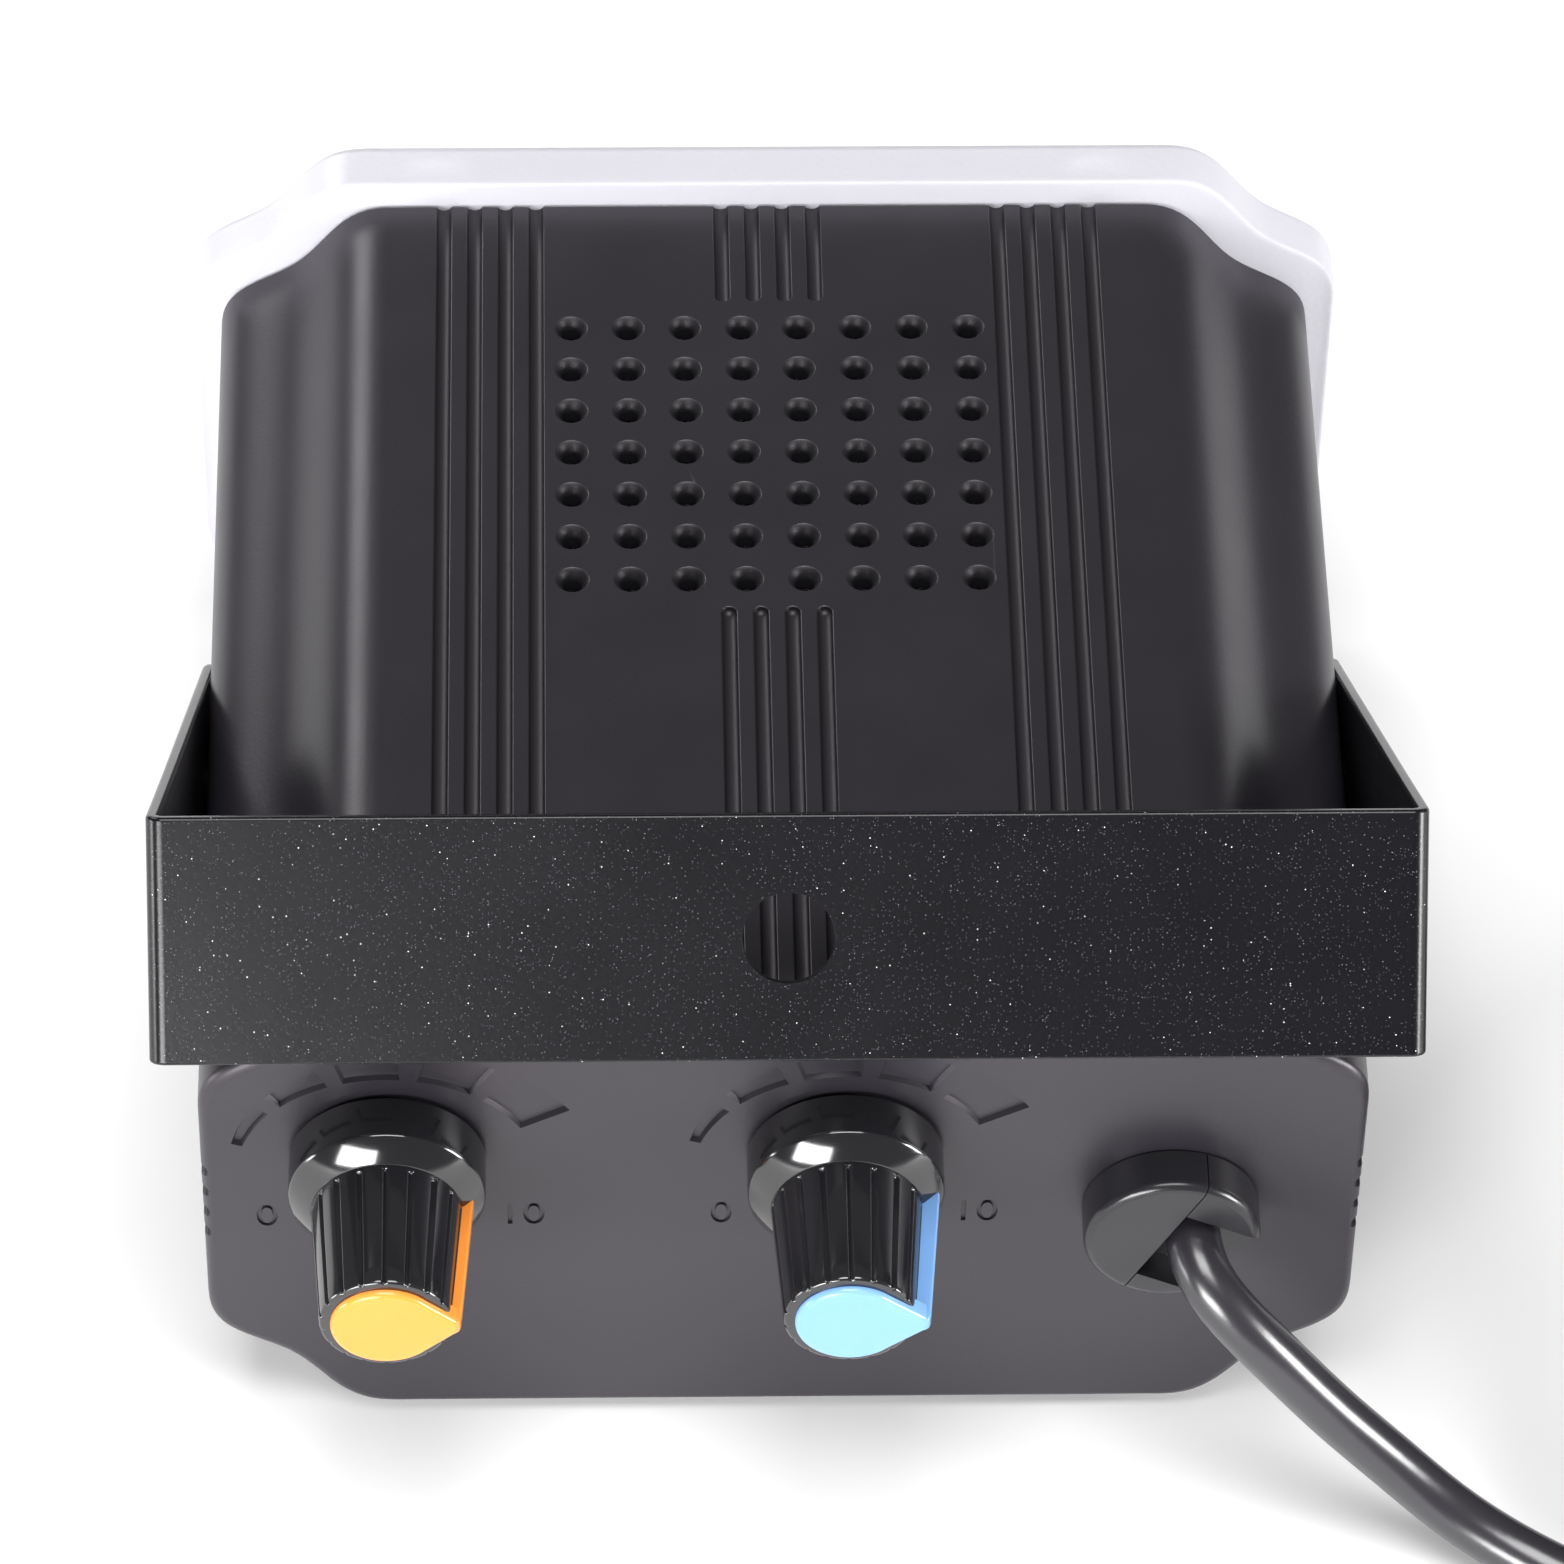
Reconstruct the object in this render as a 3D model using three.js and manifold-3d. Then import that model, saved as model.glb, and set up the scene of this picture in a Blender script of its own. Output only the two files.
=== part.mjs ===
// Small LED strobe light: a moulded box with ogee corners, a frosted cover in front, two control
// knobs and the supply cord on the rear panel, and a flat steel bracket that tilts.
// Millimetres, +Z up. The beam leaves along +Y, the control panel faces -Y.
import * as THREE from 'three';
import { mergeGeometries, mergeVertices } from 'three/addons/utils/BufferGeometryUtils.js';
import Module from 'manifold-3d';

const wasm = await Module();
wasm.setup();

// Clearances and the overrun of every cut
const seat = 0.3;
const slip = 0.15;
const overrun = 1;

// Housing
const housingWidth = 90;
const housingHeight = 50;
const housingDepth = 84;
const housingWall = 2;
const panelWall = 2.5;
const ogeeWidth = 14;
const ogeeHeight = 14;
const rearRound = 0.8;
const ogeeSteps = 5;

// Grooves pressed into the top and the sides
const groovePitch = 2.5;
const grooveRadius = 0.85;
const grooveRise = 0.3;
const groovesInGroup = 4;
const grooveGroupInset = 22.4;
const frontGrooveLength = 11;
const rearGrooveLength = 39.5;

// Vents in the top
const ventPitch = 4.58;
const ventRadius = 1.25;
const ventColumns = 8;
const ventRows = 7;
const ventFieldY = 14.25;

// Feet
const footHeight = 2.4;
const footRadius = 4;
const footInsetX = 19;
const footInsetY = 8;
const footTaper = 0.4;

// Front cover
const coverProud = 2.3;
const coverDepth = 5;
const coverPlate = 2;
const coverRib = 1.6;
const coverRibDepth = 3.5;
const coverRound = 1.3;

// Lamp board and its lamps
const boardThickness = 1.6;
const lampBoardSetback = 10.7;
const ledgeDepth = 3.5;
const ledgeWidth = 6;
const ledgeHeight = 22;
const lampColumns = 6;
const lampRows = 4;
const lampMarginX = 15;
const lampMarginZ = 11.2;
const lampRadius = 2.5;
const lampRimRadius = 2.9;
const lampRimHeight = 1;
const lampHeight = 8;
const lampCarrier = 0.8;

// Driver board on its four posts
const driverBoardMargin = 11.5;
const driverBoardRearGap = 6;
const driverBoardFrontGap = 20;
const postHeight = 5.5;
const postRadius = 3;
const postInset = 3.7;
const screwRadius = 1.4;
const screwHeadRadius = 2.7;
const screwHeadHeight = 1.8;
const screwLength = 5;
const coverScrewInsetX = 18;
const coverScrewInsetZ = 4.6;
const coverBossRadius = 3.2;
const coverBossLength = 4.4;
const coverScrewLength = 11;
const coverScrewHeadDepth = 1.4;
const pilotRadius = 1.6;

// Potentiometers and knobs
const knobDrop = 19.2;
const knobLeftInset = 14.45;
const knobRightInset = 40.25;
const potRadius = 8.2;
const potDepth = 8;
const bushRadius = 3.5;
const bushReach = 3.1;
const shaftRadius = 3;
const shaftReach = 11.5;
const washerRadius = 6;
const washerThickness = 0.5;
const nutRadius = 5.7;
const nutThickness = 2;
const skirtRadius = 7.6;
const skirtLength = 3.8;
const bevelLength = 1.5;
const knobBaseRadius = 5.85;
const knobEndRadius = 4.95;
const knobBodyLength = 10.25;
const knobEdge = 0.35;
const knobCavityRadius = 6.4;
const knobCavityDepth = 3.3;
const knobFlutes = 18;
const fluteDepth = 0.4;
const pointerDiscRadius = 3.9;
const pointerThickness = 1.1;
const pointerBaseReach = 6.7;
const pointerEndReach = 5.7;
const pointerWidth = 1.3;
const pointerRoot = 4.3;

// Dial scale around each knob: recessed sectors that grow clockwise
const scaleDrop = 2.6;
const scaleRadius = 11.8;
const scaleFirstWidth = 0.9;
const scaleLastWidth = 4.4;
const scaleDepth = 0.3;
const scaleSectors = 5;
const scaleStart = 161;
const scalePitch = 27.5;
const scaleSpan = 21.5;

// Strain relief
const reliefInset = 14.8;
const reliefDrop = 1;
const reliefHeadRadius = 6.9;
const reliefHeadLength = 3.8;
const reliefChamfer = 0.6;
const reliefShankRadius = 5.5;
const reliefShankLength = 9;
const reliefPocketDepth = 2.9;
const reliefPocketWidth = 7.9;
const reliefPocketShift = -0.65;
const reliefSplitTurn = 63;
const reliefSplitOffset = -0.6;

// Bracket and its pivot
const bracketThickness = 1;
const bracketWidth = 19;
const bracketRoom = 6.33;
const bracketSplay = 2;
const bracketBend = 1.3;
const bracketHoleRadius = 3.5;
const bracketTilt = 36.6;
const pivotY = 1.5;
const padRadius = 11;
const padDepth = 0.8;
const pivotGap = 0.7;
const pivotWasherRadius = 5.5;
const pivotWasherThickness = 0.35;
const pivotRadius = 2;
const pivotHeadRadius = 3.3;
const pivotHeadDepth = 0.75;
const pivotLength = 9.4;
const pivotBossRadius = 6.4;
const pivotBossLength = 6.5;
const pivotNutRadius = 4;
const pivotNutThickness = 3;

// Leads inside
const leadRise = 0.4;
const mainsLeadRadius = 1.6;
const lampLeadRadius = 1;
const lampLeadHeight = 3.2;
const potLeadRadius = 1.2;
const potLeadDrop = 4.8;

// Supply cord, placed from the strain relief's bore on the panel and from the table
const cordRadius = 2.2;
const cordSides = 10;
const cordStep = 8;
const coilX = 71.17;
const coilY = 5;
const coilLoops = 7;
const coilPitch = 4.95;
const coilInnerRadius = 17.8;
const coilEntry = 256;
const coilExtra = 60;
const coilStepsPerLoop = 24;
const coilSides = 6;
const coilLie = 2.95;
const cordLie = 2.4;
const coilTailSteps = 11;
const tieThickness = 0.4;
const tieWidth = 5;
const tieAngle = 200;
const tieCorner = 2;
const plugX = 120.17;
const plugY = 18;
const plugLie = 6.2;
const plugLength = 25;
const plugShoulder = 5;
const plugWidth = 26;
const plugHeight = 12;
const plugCorner = 4;
const sleeveLength = 13;
const sleeveStartRadius = 3;
const sleeveRadius = 3.7;
const sleeveBoreLength = 4;
const pinRadius = 2;
const pinLength = 19;
const pinRootLength = 6;
const pinSpacing = 19;

// Places that follow from the sizes above
const middleZ = housingHeight / 2;
const knobZ = housingHeight - knobDrop;
const reliefZ = middleZ - reliefDrop;
const knobLeftX = knobLeftInset - housingWidth / 2;
const knobRightX = housingWidth / 2 - knobRightInset;
const reliefX = housingWidth / 2 - reliefInset;
const reliefLean = THREE.MathUtils.degToRad(90 - reliefSplitTurn);
const boreShift = reliefSplitOffset + cordRadius + seat - slip / 2;
const boreX = reliefX + boreShift * Math.cos(reliefLean);
const boreZ = reliefZ - boreShift * Math.sin(reliefLean);
const coverScrewX = housingWidth / 2 - coverScrewInsetX;
const footX = housingWidth / 2 - footInsetX;
const footY = housingDepth / 2 - footInsetY;
const grooveGroupX = housingWidth / 2 - grooveGroupInset;
const driverBoardWidth = housingWidth - 2 * driverBoardMargin;
const driverBoardLength = housingDepth - driverBoardRearGap - driverBoardFrontGap;
const driverBoardY = (driverBoardRearGap - driverBoardFrontGap) / 2;
const lampPitchX = (housingWidth - 2 * lampMarginX) / (lampColumns - 1);
const lampPitchZ = (housingHeight - 2 * lampMarginZ) / (lampRows - 1);
const bracketReach = Math.hypot(housingDepth / 2 + pivotY, middleZ) + bracketRoom;
const bracketPivotHalf = housingWidth / 2 - padDepth + pivotGap + bracketThickness;
const bracketBarHalf = bracketPivotHalf + bracketSplay;
const rearFace = -housingDepth / 2;
const frontFace = housingDepth / 2;
const panelInside = rearFace + panelWall;
const knobBack = rearFace - seat;
const knobFront = knobBack - skirtLength - bevelLength - knobBodyLength;
const coverBack = frontFace + seat / 2;
const coverFront = coverBack + coverDepth;
const pointerFront = knobFront - slip - pointerThickness;
const lampBoardBack = frontFace - lampBoardSetback;
const driverBoardZ = housingWall + postHeight + seat / 2;
const driverTop = driverBoardZ + boardThickness + slip;
const restTilt = THREE.MathUtils.degToRad(bracketTilt);

const AXIS_X = new THREE.Vector3(1, 0, 0);
const AXIS_Y = new THREE.Vector3(0, 1, 0);
const AXIS_Z = new THREE.Vector3(0, 0, 1);

// A closed copy of a geometry: only positions, shared corners merged, faces pointing out.
function closed(geometry) {
  const bare = geometry.clone();
  bare.deleteAttribute('normal');
  bare.deleteAttribute('uv');
  const merged = mergeVertices(bare, 1e-5);
  const corners = merged.index.array;
  const kept = [];
  for (let i = 0; i < corners.length; i += 3) {
    const [a, b, c] = [corners[i], corners[i + 1], corners[i + 2]];
    if (a !== b && b !== c && c !== a) kept.push(a, b, c);
  }
  const position = merged.attributes.position;
  const [p, q, r] = [new THREE.Vector3(), new THREE.Vector3(), new THREE.Vector3()];
  let volume = 0;
  for (let i = 0; i < kept.length; i += 3) {
    p.fromBufferAttribute(position, kept[i]);
    q.fromBufferAttribute(position, kept[i + 1]);
    r.fromBufferAttribute(position, kept[i + 2]);
    volume += p.dot(q.cross(r));
  }
  if (volume < 0) kept.reverse();
  merged.setIndex(kept);
  return merged;
}

function toSolid(geometry) {
  const mesh = closed(geometry);
  return new wasm.Manifold(new wasm.Mesh({
    numProp: 3,
    vertProperties: new Float32Array(mesh.attributes.position.array),
    triVerts: new Uint32Array(mesh.index.array),
  }));
}

function toGeometry(solid) {
  const mesh = solid.getMesh();
  const geometry = new THREE.BufferGeometry();
  geometry.setAttribute('position', new THREE.BufferAttribute(mesh.vertProperties, 3));
  geometry.setIndex(Array.from(mesh.triVerts));
  return geometry;
}

function cut(base, ...tools) {
  return toGeometry(tools.flat().reduce((solid, tool) => solid.subtract(toSolid(tool)), toSolid(base)));
}

function join(...pieces) {
  return toGeometry(pieces.flat().map(toSolid).reduce((whole, piece) => whole.add(piece)));
}

function keep(base, tool) {
  return toGeometry(toSolid(base).intersect(toSolid(tool)));
}

// Pieces that do not touch, as one geometry
function together(pieces) {
  return mergeGeometries(pieces.map(closed));
}

function extruded(outline, depth) {
  return new THREE.ExtrudeGeometry(new THREE.Shape(outline), { depth, bevelEnabled: false });
}

// An outline in X and Z, pushed along +Y from yStart
function alongY(outline, length, yStart) {
  const geometry = extruded(outline, length);
  geometry.applyMatrix4(new THREE.Matrix4().makeBasis(AXIS_X, AXIS_Z, AXIS_Y.clone().negate()));
  return geometry.translate(0, yStart + length, 0);
}

// An outline in Y and Z, pushed along X and centred on X = 0
function alongX(outline, length) {
  const geometry = extruded(outline, length);
  geometry.applyMatrix4(new THREE.Matrix4().makeBasis(AXIS_Y, AXIS_Z, AXIS_X));
  return geometry.translate(-length / 2, 0, 0);
}

// An outline in X and Y, pushed along Z and centred on Z = 0
function alongZ(outline, length) {
  const geometry = extruded(outline, length);
  return geometry.translate(0, 0, -length / 2);
}

function point(x, y) {
  return new THREE.Vector2(x, y);
}

function block(width, depth, height, x, y, z) {
  return new THREE.BoxGeometry(width, depth, height).translate(x, y, z);
}

// A rod along Y from y0 to y1
function rodY(radius, y0, y1, x, z, sides = 16) {
  return new THREE.CylinderGeometry(radius, radius, y1 - y0, sides).translate(x, (y0 + y1) / 2, z);
}

// A rod along X from x0 to x1, which may taper
function rodX(radius0, radius1, x0, x1, y, z, sides = 16) {
  const rod = new THREE.CylinderGeometry(radius1, radius0, x1 - x0, sides).rotateZ(-Math.PI / 2);
  return rod.translate((x0 + x1) / 2, y, z);
}

// A rod along Z from z0 to z1, which may taper
function rodZ(radius0, radius1, z0, z1, x, y, sides = 16) {
  const rod = new THREE.CylinderGeometry(radius1, radius0, z1 - z0, sides).rotateX(Math.PI / 2);
  return rod.translate(x, y, (z0 + z1) / 2);
}

// A body turned about the Y axis from a closed profile of [radius, y] pairs
function turned(profile, sides) {
  return new THREE.LatheGeometry(profile.map(([radius, y]) => point(radius, y)), sides);
}

// A skin over rings of points that lie across Y, closed by a flat face at each end
function loftY(rings) {
  const count = rings[0].length;
  const positions = rings.flat().flatMap((corner) => [corner.x, corner.y, corner.z]);
  const faces = [];
  for (let ring = 0; ring < rings.length - 1; ring++) {
    for (let i = 0; i < count; i++) {
      const next = (i + 1) % count;
      const [a, b] = [ring * count + i, ring * count + next];
      const [c, d] = [b + count, a + count];
      faces.push(a, c, b, a, d, c);
    }
  }
  for (const ring of [0, rings.length - 1]) {
    const flat = rings[ring].map((corner) => point(corner.x, corner.z));
    for (const [a, b, c] of THREE.ShapeUtils.triangulateShape(flat, [])) {
      const first = ring * count;
      if (ring === 0) faces.push(first + a, first + b, first + c);
      else faces.push(first + a, first + c, first + b);
    }
  }
  const geometry = new THREE.BufferGeometry();
  geometry.setAttribute('position', new THREE.Float32BufferAttribute(positions, 3));
  geometry.setIndex(faces);
  return geometry;
}

function ringAt(outline, y) {
  return outline.map((corner) => new THREE.Vector3(corner.x, y, corner.y));
}

// A round tube that follows a curve
function tube(curve, radius, sides, steps) {
  const section = [];
  for (let i = 0; i < sides; i++) {
    const turn = (i / sides) * 2 * Math.PI;
    section.push(point(radius * Math.cos(turn), radius * Math.sin(turn)));
  }
  const shape = new THREE.Shape(section);
  return new THREE.ExtrudeGeometry(shape, { steps, bevelEnabled: false, extrudePath: curve });
}

// One ogee corner in shares of its width and height: out of the flat, down the cyma, into the side
const ogeeShares = [[0, 0], [0.32, 0], [0.37, 0.34], [0.61, 0.5], [0.81, 0.64], [1, 0.67], [1, 1]];

function ogeeCorner() {
  const [a, b, c, d, e, f, g] = ogeeShares.map(([across, down]) => point(across, down));
  const upper = new THREE.CubicBezierCurve(a, b, c, d).getPoints(ogeeSteps);
  const lower = new THREE.CubicBezierCurve(d, e, f, g).getPoints(ogeeSteps);
  return [...upper, ...lower.slice(1)];
}

// The section of the housing, counter-clockwise in X and Z, grown outwards on every side
function ogeeOutline(grow) {
  const side = housingWidth / 2 + grow;
  const [top, bottom] = [housingHeight + grow, -grow];
  const corner = ogeeCorner();
  const across = (share) => side - ogeeWidth + share.x * ogeeWidth;
  const lowerRight = corner.map((share) => point(across(share), bottom + share.y * ogeeHeight));
  const upperRight = corner.map((share) => point(across(share), top - share.y * ogeeHeight)).reverse();
  const upperLeft = corner.map((share) => point(-across(share), top - share.y * ogeeHeight));
  const lowerLeft = corner.map((share) => point(-across(share), bottom + share.y * ogeeHeight)).reverse();
  return [...lowerRight, ...upperRight, ...upperLeft, ...lowerLeft];
}

// Where the grooves of a group lie, measured from the middle of the group
function grooveOffsets() {
  const offsets = [];
  for (let i = 0; i < groovesInGroup; i++) offsets.push((i - (groovesInGroup - 1) / 2) * groovePitch);
  return offsets;
}

// A groove with round ends, cut into the face that lies at x and z
function groove(x, z, yStart, yEnd) {
  const capsule = new THREE.CapsuleGeometry(grooveRadius, yEnd - yStart - 2 * grooveRadius, 2, 8);
  return capsule.translate(x, (yStart + yEnd) / 2, z);
}

function housingGrooves() {
  const [rearEnd, frontEnd] = [rearFace - 2 * overrun, frontFace + 2 * overrun];
  const topZ = housingHeight + grooveRise;
  const sideX = housingWidth / 2 + grooveRise;
  const tools = [];
  for (const offset of grooveOffsets()) {
    tools.push(groove(-grooveGroupX + offset, topZ, rearEnd, frontEnd));
    tools.push(groove(grooveGroupX + offset, topZ, rearEnd, frontEnd));
    tools.push(groove(offset, topZ, frontFace - frontGrooveLength, frontEnd));
    tools.push(groove(offset, topZ, rearEnd, rearFace + rearGrooveLength));
    tools.push(groove(-sideX, middleZ + offset, rearEnd, frontEnd));
    tools.push(groove(sideX, middleZ + offset, rearEnd, frontEnd));
  }
  return together(tools);
}

function housingVents() {
  const holes = [];
  const [low, high] = [housingHeight - housingWall - overrun, housingHeight + overrun];
  for (let row = 0; row < ventRows; row++) {
    for (let column = 0; column < ventColumns; column++) {
      const x = (column - (ventColumns - 1) / 2) * ventPitch;
      const y = ventFieldY + (row - (ventRows - 1) / 2) * ventPitch;
      holes.push(rodZ(ventRadius, ventRadius, low, high, x, y, 8));
    }
  }
  return together(holes);
}

// One recessed sector of a dial scale: an arc inside, and outside a wedge that widens clockwise
function scaleSector(x, index) {
  const sweep = scaleStart - (scaleSectors - 1) * scalePitch - scaleSpan;
  const widthAt = (angle) => {
    const share = (scaleStart - angle) / (scaleStart - sweep);
    return scaleFirstWidth + share * (scaleLastWidth - scaleFirstWidth);
  };
  const start = scaleStart - index * scalePitch;
  const steps = 3;
  const [inner, outer] = [[], []];
  for (let i = 0; i <= steps; i++) {
    const angle = start - (i / steps) * scaleSpan;
    const direction = THREE.MathUtils.degToRad(angle);
    const [across, above] = [Math.cos(direction), Math.sin(direction)];
    const at = (radius) => point(x + radius * across, knobZ - scaleDrop + radius * above);
    inner.push(at(scaleRadius));
    outer.push(at(scaleRadius + widthAt(angle)));
  }
  return alongY([...inner, ...outer.reverse()], scaleDepth + overrun, rearFace - overrun);
}

// Boss and hole for each pivot: a shallow round pad outside, a boss with a nut pocket inside
function pivotBoss(side) {
  const inner = housingWidth / 2 - housingWall;
  const [x0, x1] = [inner - pivotBossLength, inner + housingWall / 2];
  return side > 0
    ? rodX(pivotBossRadius, pivotBossRadius, x0, x1, pivotY, middleZ, 20)
    : rodX(pivotBossRadius, pivotBossRadius, -x1, -x0, pivotY, middleZ, 20);
}

function pivotCuts(side) {
  const face = housingWidth / 2;
  const pocketEnd = face - housingWall - pivotBossLength + pivotNutThickness + 2 * slip;
  const spans = [
    [padRadius, face - padDepth, face + overrun, 32],
    [pivotRadius + 2 * slip, face - housingWall - pivotBossLength - overrun, face, 12],
    [pivotNutRadius + seat, face - housingWall - pivotBossLength - overrun, pocketEnd, 6],
  ];
  return spans.map(([radius, x0, x1, sides]) => (side > 0
    ? rodX(radius, radius, x0, x1, pivotY, middleZ, sides)
    : rodX(radius, radius, -x1, -x0, pivotY, middleZ, sides)));
}

function postPlaces() {
  const places = [];
  for (const sideX of [-1, 1]) {
    for (const sideY of [-1, 1]) {
      const y = driverBoardY + sideY * (driverBoardLength / 2 - postInset);
      places.push([sideX * (driverBoardWidth / 2 - postInset), y]);
    }
  }
  return places;
}

function ledgeScrewPlaces() {
  const x = housingWidth / 2 - housingWall - ledgeWidth / 2;
  return [[-x, middleZ], [x, middleZ]];
}

function housing() {
  const shell = loftY([
    ringAt(ogeeOutline(-rearRound), rearFace),
    ringAt(ogeeOutline(-rearRound * 0.3), rearFace + rearRound * 0.3),
    ringAt(ogeeOutline(0), rearFace + rearRound),
    ringAt(ogeeOutline(0), frontFace),
  ]);
  const cavity = alongY(ogeeOutline(-housingWall), housingDepth, panelInside);
  const ledgeX = housingWidth / 2 - housingWall - ledgeWidth / 2 + housingWall / 4;
  const ledgeY = lampBoardBack - seat / 2 - ledgeDepth / 2;
  const ledgeSpan = ledgeWidth + housingWall / 2;
  const additions = [
    block(ledgeSpan, ledgeDepth, ledgeHeight, -ledgeX, ledgeY, middleZ),
    block(ledgeSpan, ledgeDepth, ledgeHeight, ledgeX, ledgeY, middleZ),
    pivotBoss(-1),
    pivotBoss(1),
  ];
  for (const [x, y] of postPlaces()) {
    additions.push(rodZ(postRadius, postRadius, housingWall / 2, housingWall + postHeight, x, y, 12));
  }
  const bossFront = coverBack - coverRibDepth - seat;
  for (const [x, z] of coverScrewPlaces()) {
    additions.push(rodY(coverBossRadius, bossFront - coverBossLength, bossFront, x, z, 12));
  }
  const panelHoleEnd = panelInside + overrun;
  const holes = [
    rodY(bushRadius + slip, rearFace - overrun, panelHoleEnd, knobLeftX, knobZ, 20),
    rodY(bushRadius + slip, rearFace - overrun, panelHoleEnd, knobRightX, knobZ, 20),
    rodY(reliefShankRadius + seat, rearFace - overrun, panelHoleEnd, reliefX, reliefZ, 20),
  ];
  for (const [x, y] of postPlaces()) {
    const top = housingWall + postHeight;
    holes.push(rodZ(pilotRadius, pilotRadius, housingWall, top + overrun, x, y, 8));
  }
  for (const [x, z] of ledgeScrewPlaces()) {
    holes.push(rodY(pilotRadius, ledgeY - ledgeDepth, lampBoardBack + overrun, x, z, 8));
  }
  for (const [x, z] of coverScrewPlaces()) {
    holes.push(rodY(pilotRadius, bossFront - coverBossLength - overrun, bossFront + overrun, x, z, 8));
  }
  for (let index = 0; index < scaleSectors; index++) {
    holes.push(scaleSector(knobLeftX, index), scaleSector(knobRightX, index));
  }
  const limits = alongY(ogeeOutline(-housingWall / 2), housingDepth, rearFace);
  const body = join(cut(shell, cavity), keep(join(additions), limits));
  return cut(body, holes, pivotCuts(-1), pivotCuts(1), housingGrooves(), housingVents());
}

const footPlaces = [[-footX, -footY], [footX, -footY], [-footX, footY], [footX, footY]];

function foot([x, y]) {
  return rodZ(footRadius - footTaper, footRadius, -footHeight, -slip, x, y, 20);
}

function coverScrewPlaces() {
  const [low, high] = [coverScrewInsetZ, housingHeight - coverScrewInsetZ];
  return [[-coverScrewX, low], [coverScrewX, low], [-coverScrewX, high], [coverScrewX, high]];
}

function cover() {
  const plate = loftY([
    ringAt(ogeeOutline(coverProud - coverRound / 4), coverBack),
    ringAt(ogeeOutline(coverProud), coverBack + coverRound / 4),
    ringAt(ogeeOutline(coverProud), coverFront - coverRound),
    ringAt(ogeeOutline(coverProud - coverRound * 0.3), coverFront - coverRound * 0.3),
    ringAt(ogeeOutline(coverProud - coverRound), coverFront),
  ]);
  const ribBack = coverBack - coverRibDepth;
  const ribOutside = -housingWall - seat;
  const rib = alongY(ogeeOutline(ribOutside), coverRibDepth + coverPlate, ribBack);
  const hollowLength = coverFront - coverPlate - ribBack + overrun;
  const hollow = alongY(ogeeOutline(ribOutside - coverRib), hollowLength, ribBack - overrun);
  const ribbed = cut(join(plate, rib), hollow);
  const limits = alongY(ogeeOutline(ribOutside), 2 * coverDepth, ribBack);
  const bosses = coverScrewPlaces().map(([x, z]) => (
    keep(rodY(coverBossRadius, ribBack, coverFront - coverPlate / 2, x, z, 12), limits)));
  const holes = coverScrewPlaces().flatMap(([x, z]) => [
    rodY(screwRadius + slip, ribBack - overrun, coverFront, x, z, 12),
    rodY(screwHeadRadius + seat, coverFront - coverScrewHeadDepth - slip, coverFront + overrun, x, z, 16),
  ]);
  return cut(join(ribbed, bosses), holes);
}

// Cheese head screw sunk into the cover's front
function coverScrew([x, z]) {
  return turned([
    [0, 0],
    [screwHeadRadius, 0],
    [screwHeadRadius, -coverScrewHeadDepth],
    [screwRadius, -coverScrewHeadDepth],
    [screwRadius, -coverScrewLength],
    [0, -coverScrewLength],
  ], 12).translate(x, coverFront - slip / 2, z);
}

function lampBoard() {
  const board = alongY(ogeeOutline(-housingWall - seat), boardThickness, lampBoardBack);
  const holes = ledgeScrewPlaces().map(([x, z]) => (
    rodY(screwRadius + slip, lampBoardBack - overrun, lampBoardBack + boardThickness + overrun, x, z, 8)));
  return cut(board, holes);
}

function lampArray() {
  const base = lampBoardBack + boardThickness + slip;
  const lamp = turned([
    [0, 0],
    [lampRimRadius, 0],
    [lampRimRadius, lampRimHeight],
    [lampRadius, lampRimHeight],
    [lampRadius, lampHeight - lampRadius],
    [lampRadius * 0.72, lampHeight - lampRadius * 0.3],
    [0, lampHeight],
  ], 8);
  const margin = 2 * (lampRimRadius + lampCarrier);
  const carrierWidth = (lampColumns - 1) * lampPitchX + margin;
  const carrierHeight = (lampRows - 1) * lampPitchZ + margin;
  const carrierY = base + lampCarrier / 2;
  const lamps = [];
  for (let row = 0; row < lampRows; row++) {
    for (let column = 0; column < lampColumns; column++) {
      const x = (column - (lampColumns - 1) / 2) * lampPitchX;
      const z = middleZ + (row - (lampRows - 1) / 2) * lampPitchZ;
      lamps.push(lamp.clone().translate(x, base + lampCarrier / 2, z));
    }
  }
  return join(block(carrierWidth, lampCarrier, carrierHeight, 0, carrierY, middleZ), together(lamps));
}

// A pan head screw whose head rests at y = 0 or z = 0 and whose shank runs the other way
function panScrew() {
  return turned([
    [0, screwHeadHeight],
    [screwHeadRadius * 0.7, screwHeadHeight],
    [screwHeadRadius, screwHeadHeight * 0.5],
    [screwHeadRadius, 0],
    [screwRadius, 0],
    [screwRadius, -screwLength],
    [0, -screwLength],
  ], 10);
}

function lampBoardScrew([x, z]) {
  return panScrew().translate(x, lampBoardBack + boardThickness + slip, z);
}

function driverScrew([x, y]) {
  return panScrew().rotateX(Math.PI / 2).translate(x, y, driverTop);
}

function driverBoard() {
  const board = block(driverBoardWidth, driverBoardLength, boardThickness, 0, driverBoardY,
    driverBoardZ + boardThickness / 2);
  const holes = postPlaces().map(([x, y]) => (
    rodZ(screwRadius + slip, screwRadius + slip, driverBoardZ - overrun, driverTop + overrun, x, y, 8)));
  return cut(board, holes);
}

// Parts of the driver board, each stood on it at a place in shares of its half width and half length
function onBoard(shareX, shareY) {
  return [shareX * driverBoardWidth / 2, driverBoardY + shareY * driverBoardLength / 2];
}

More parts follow.
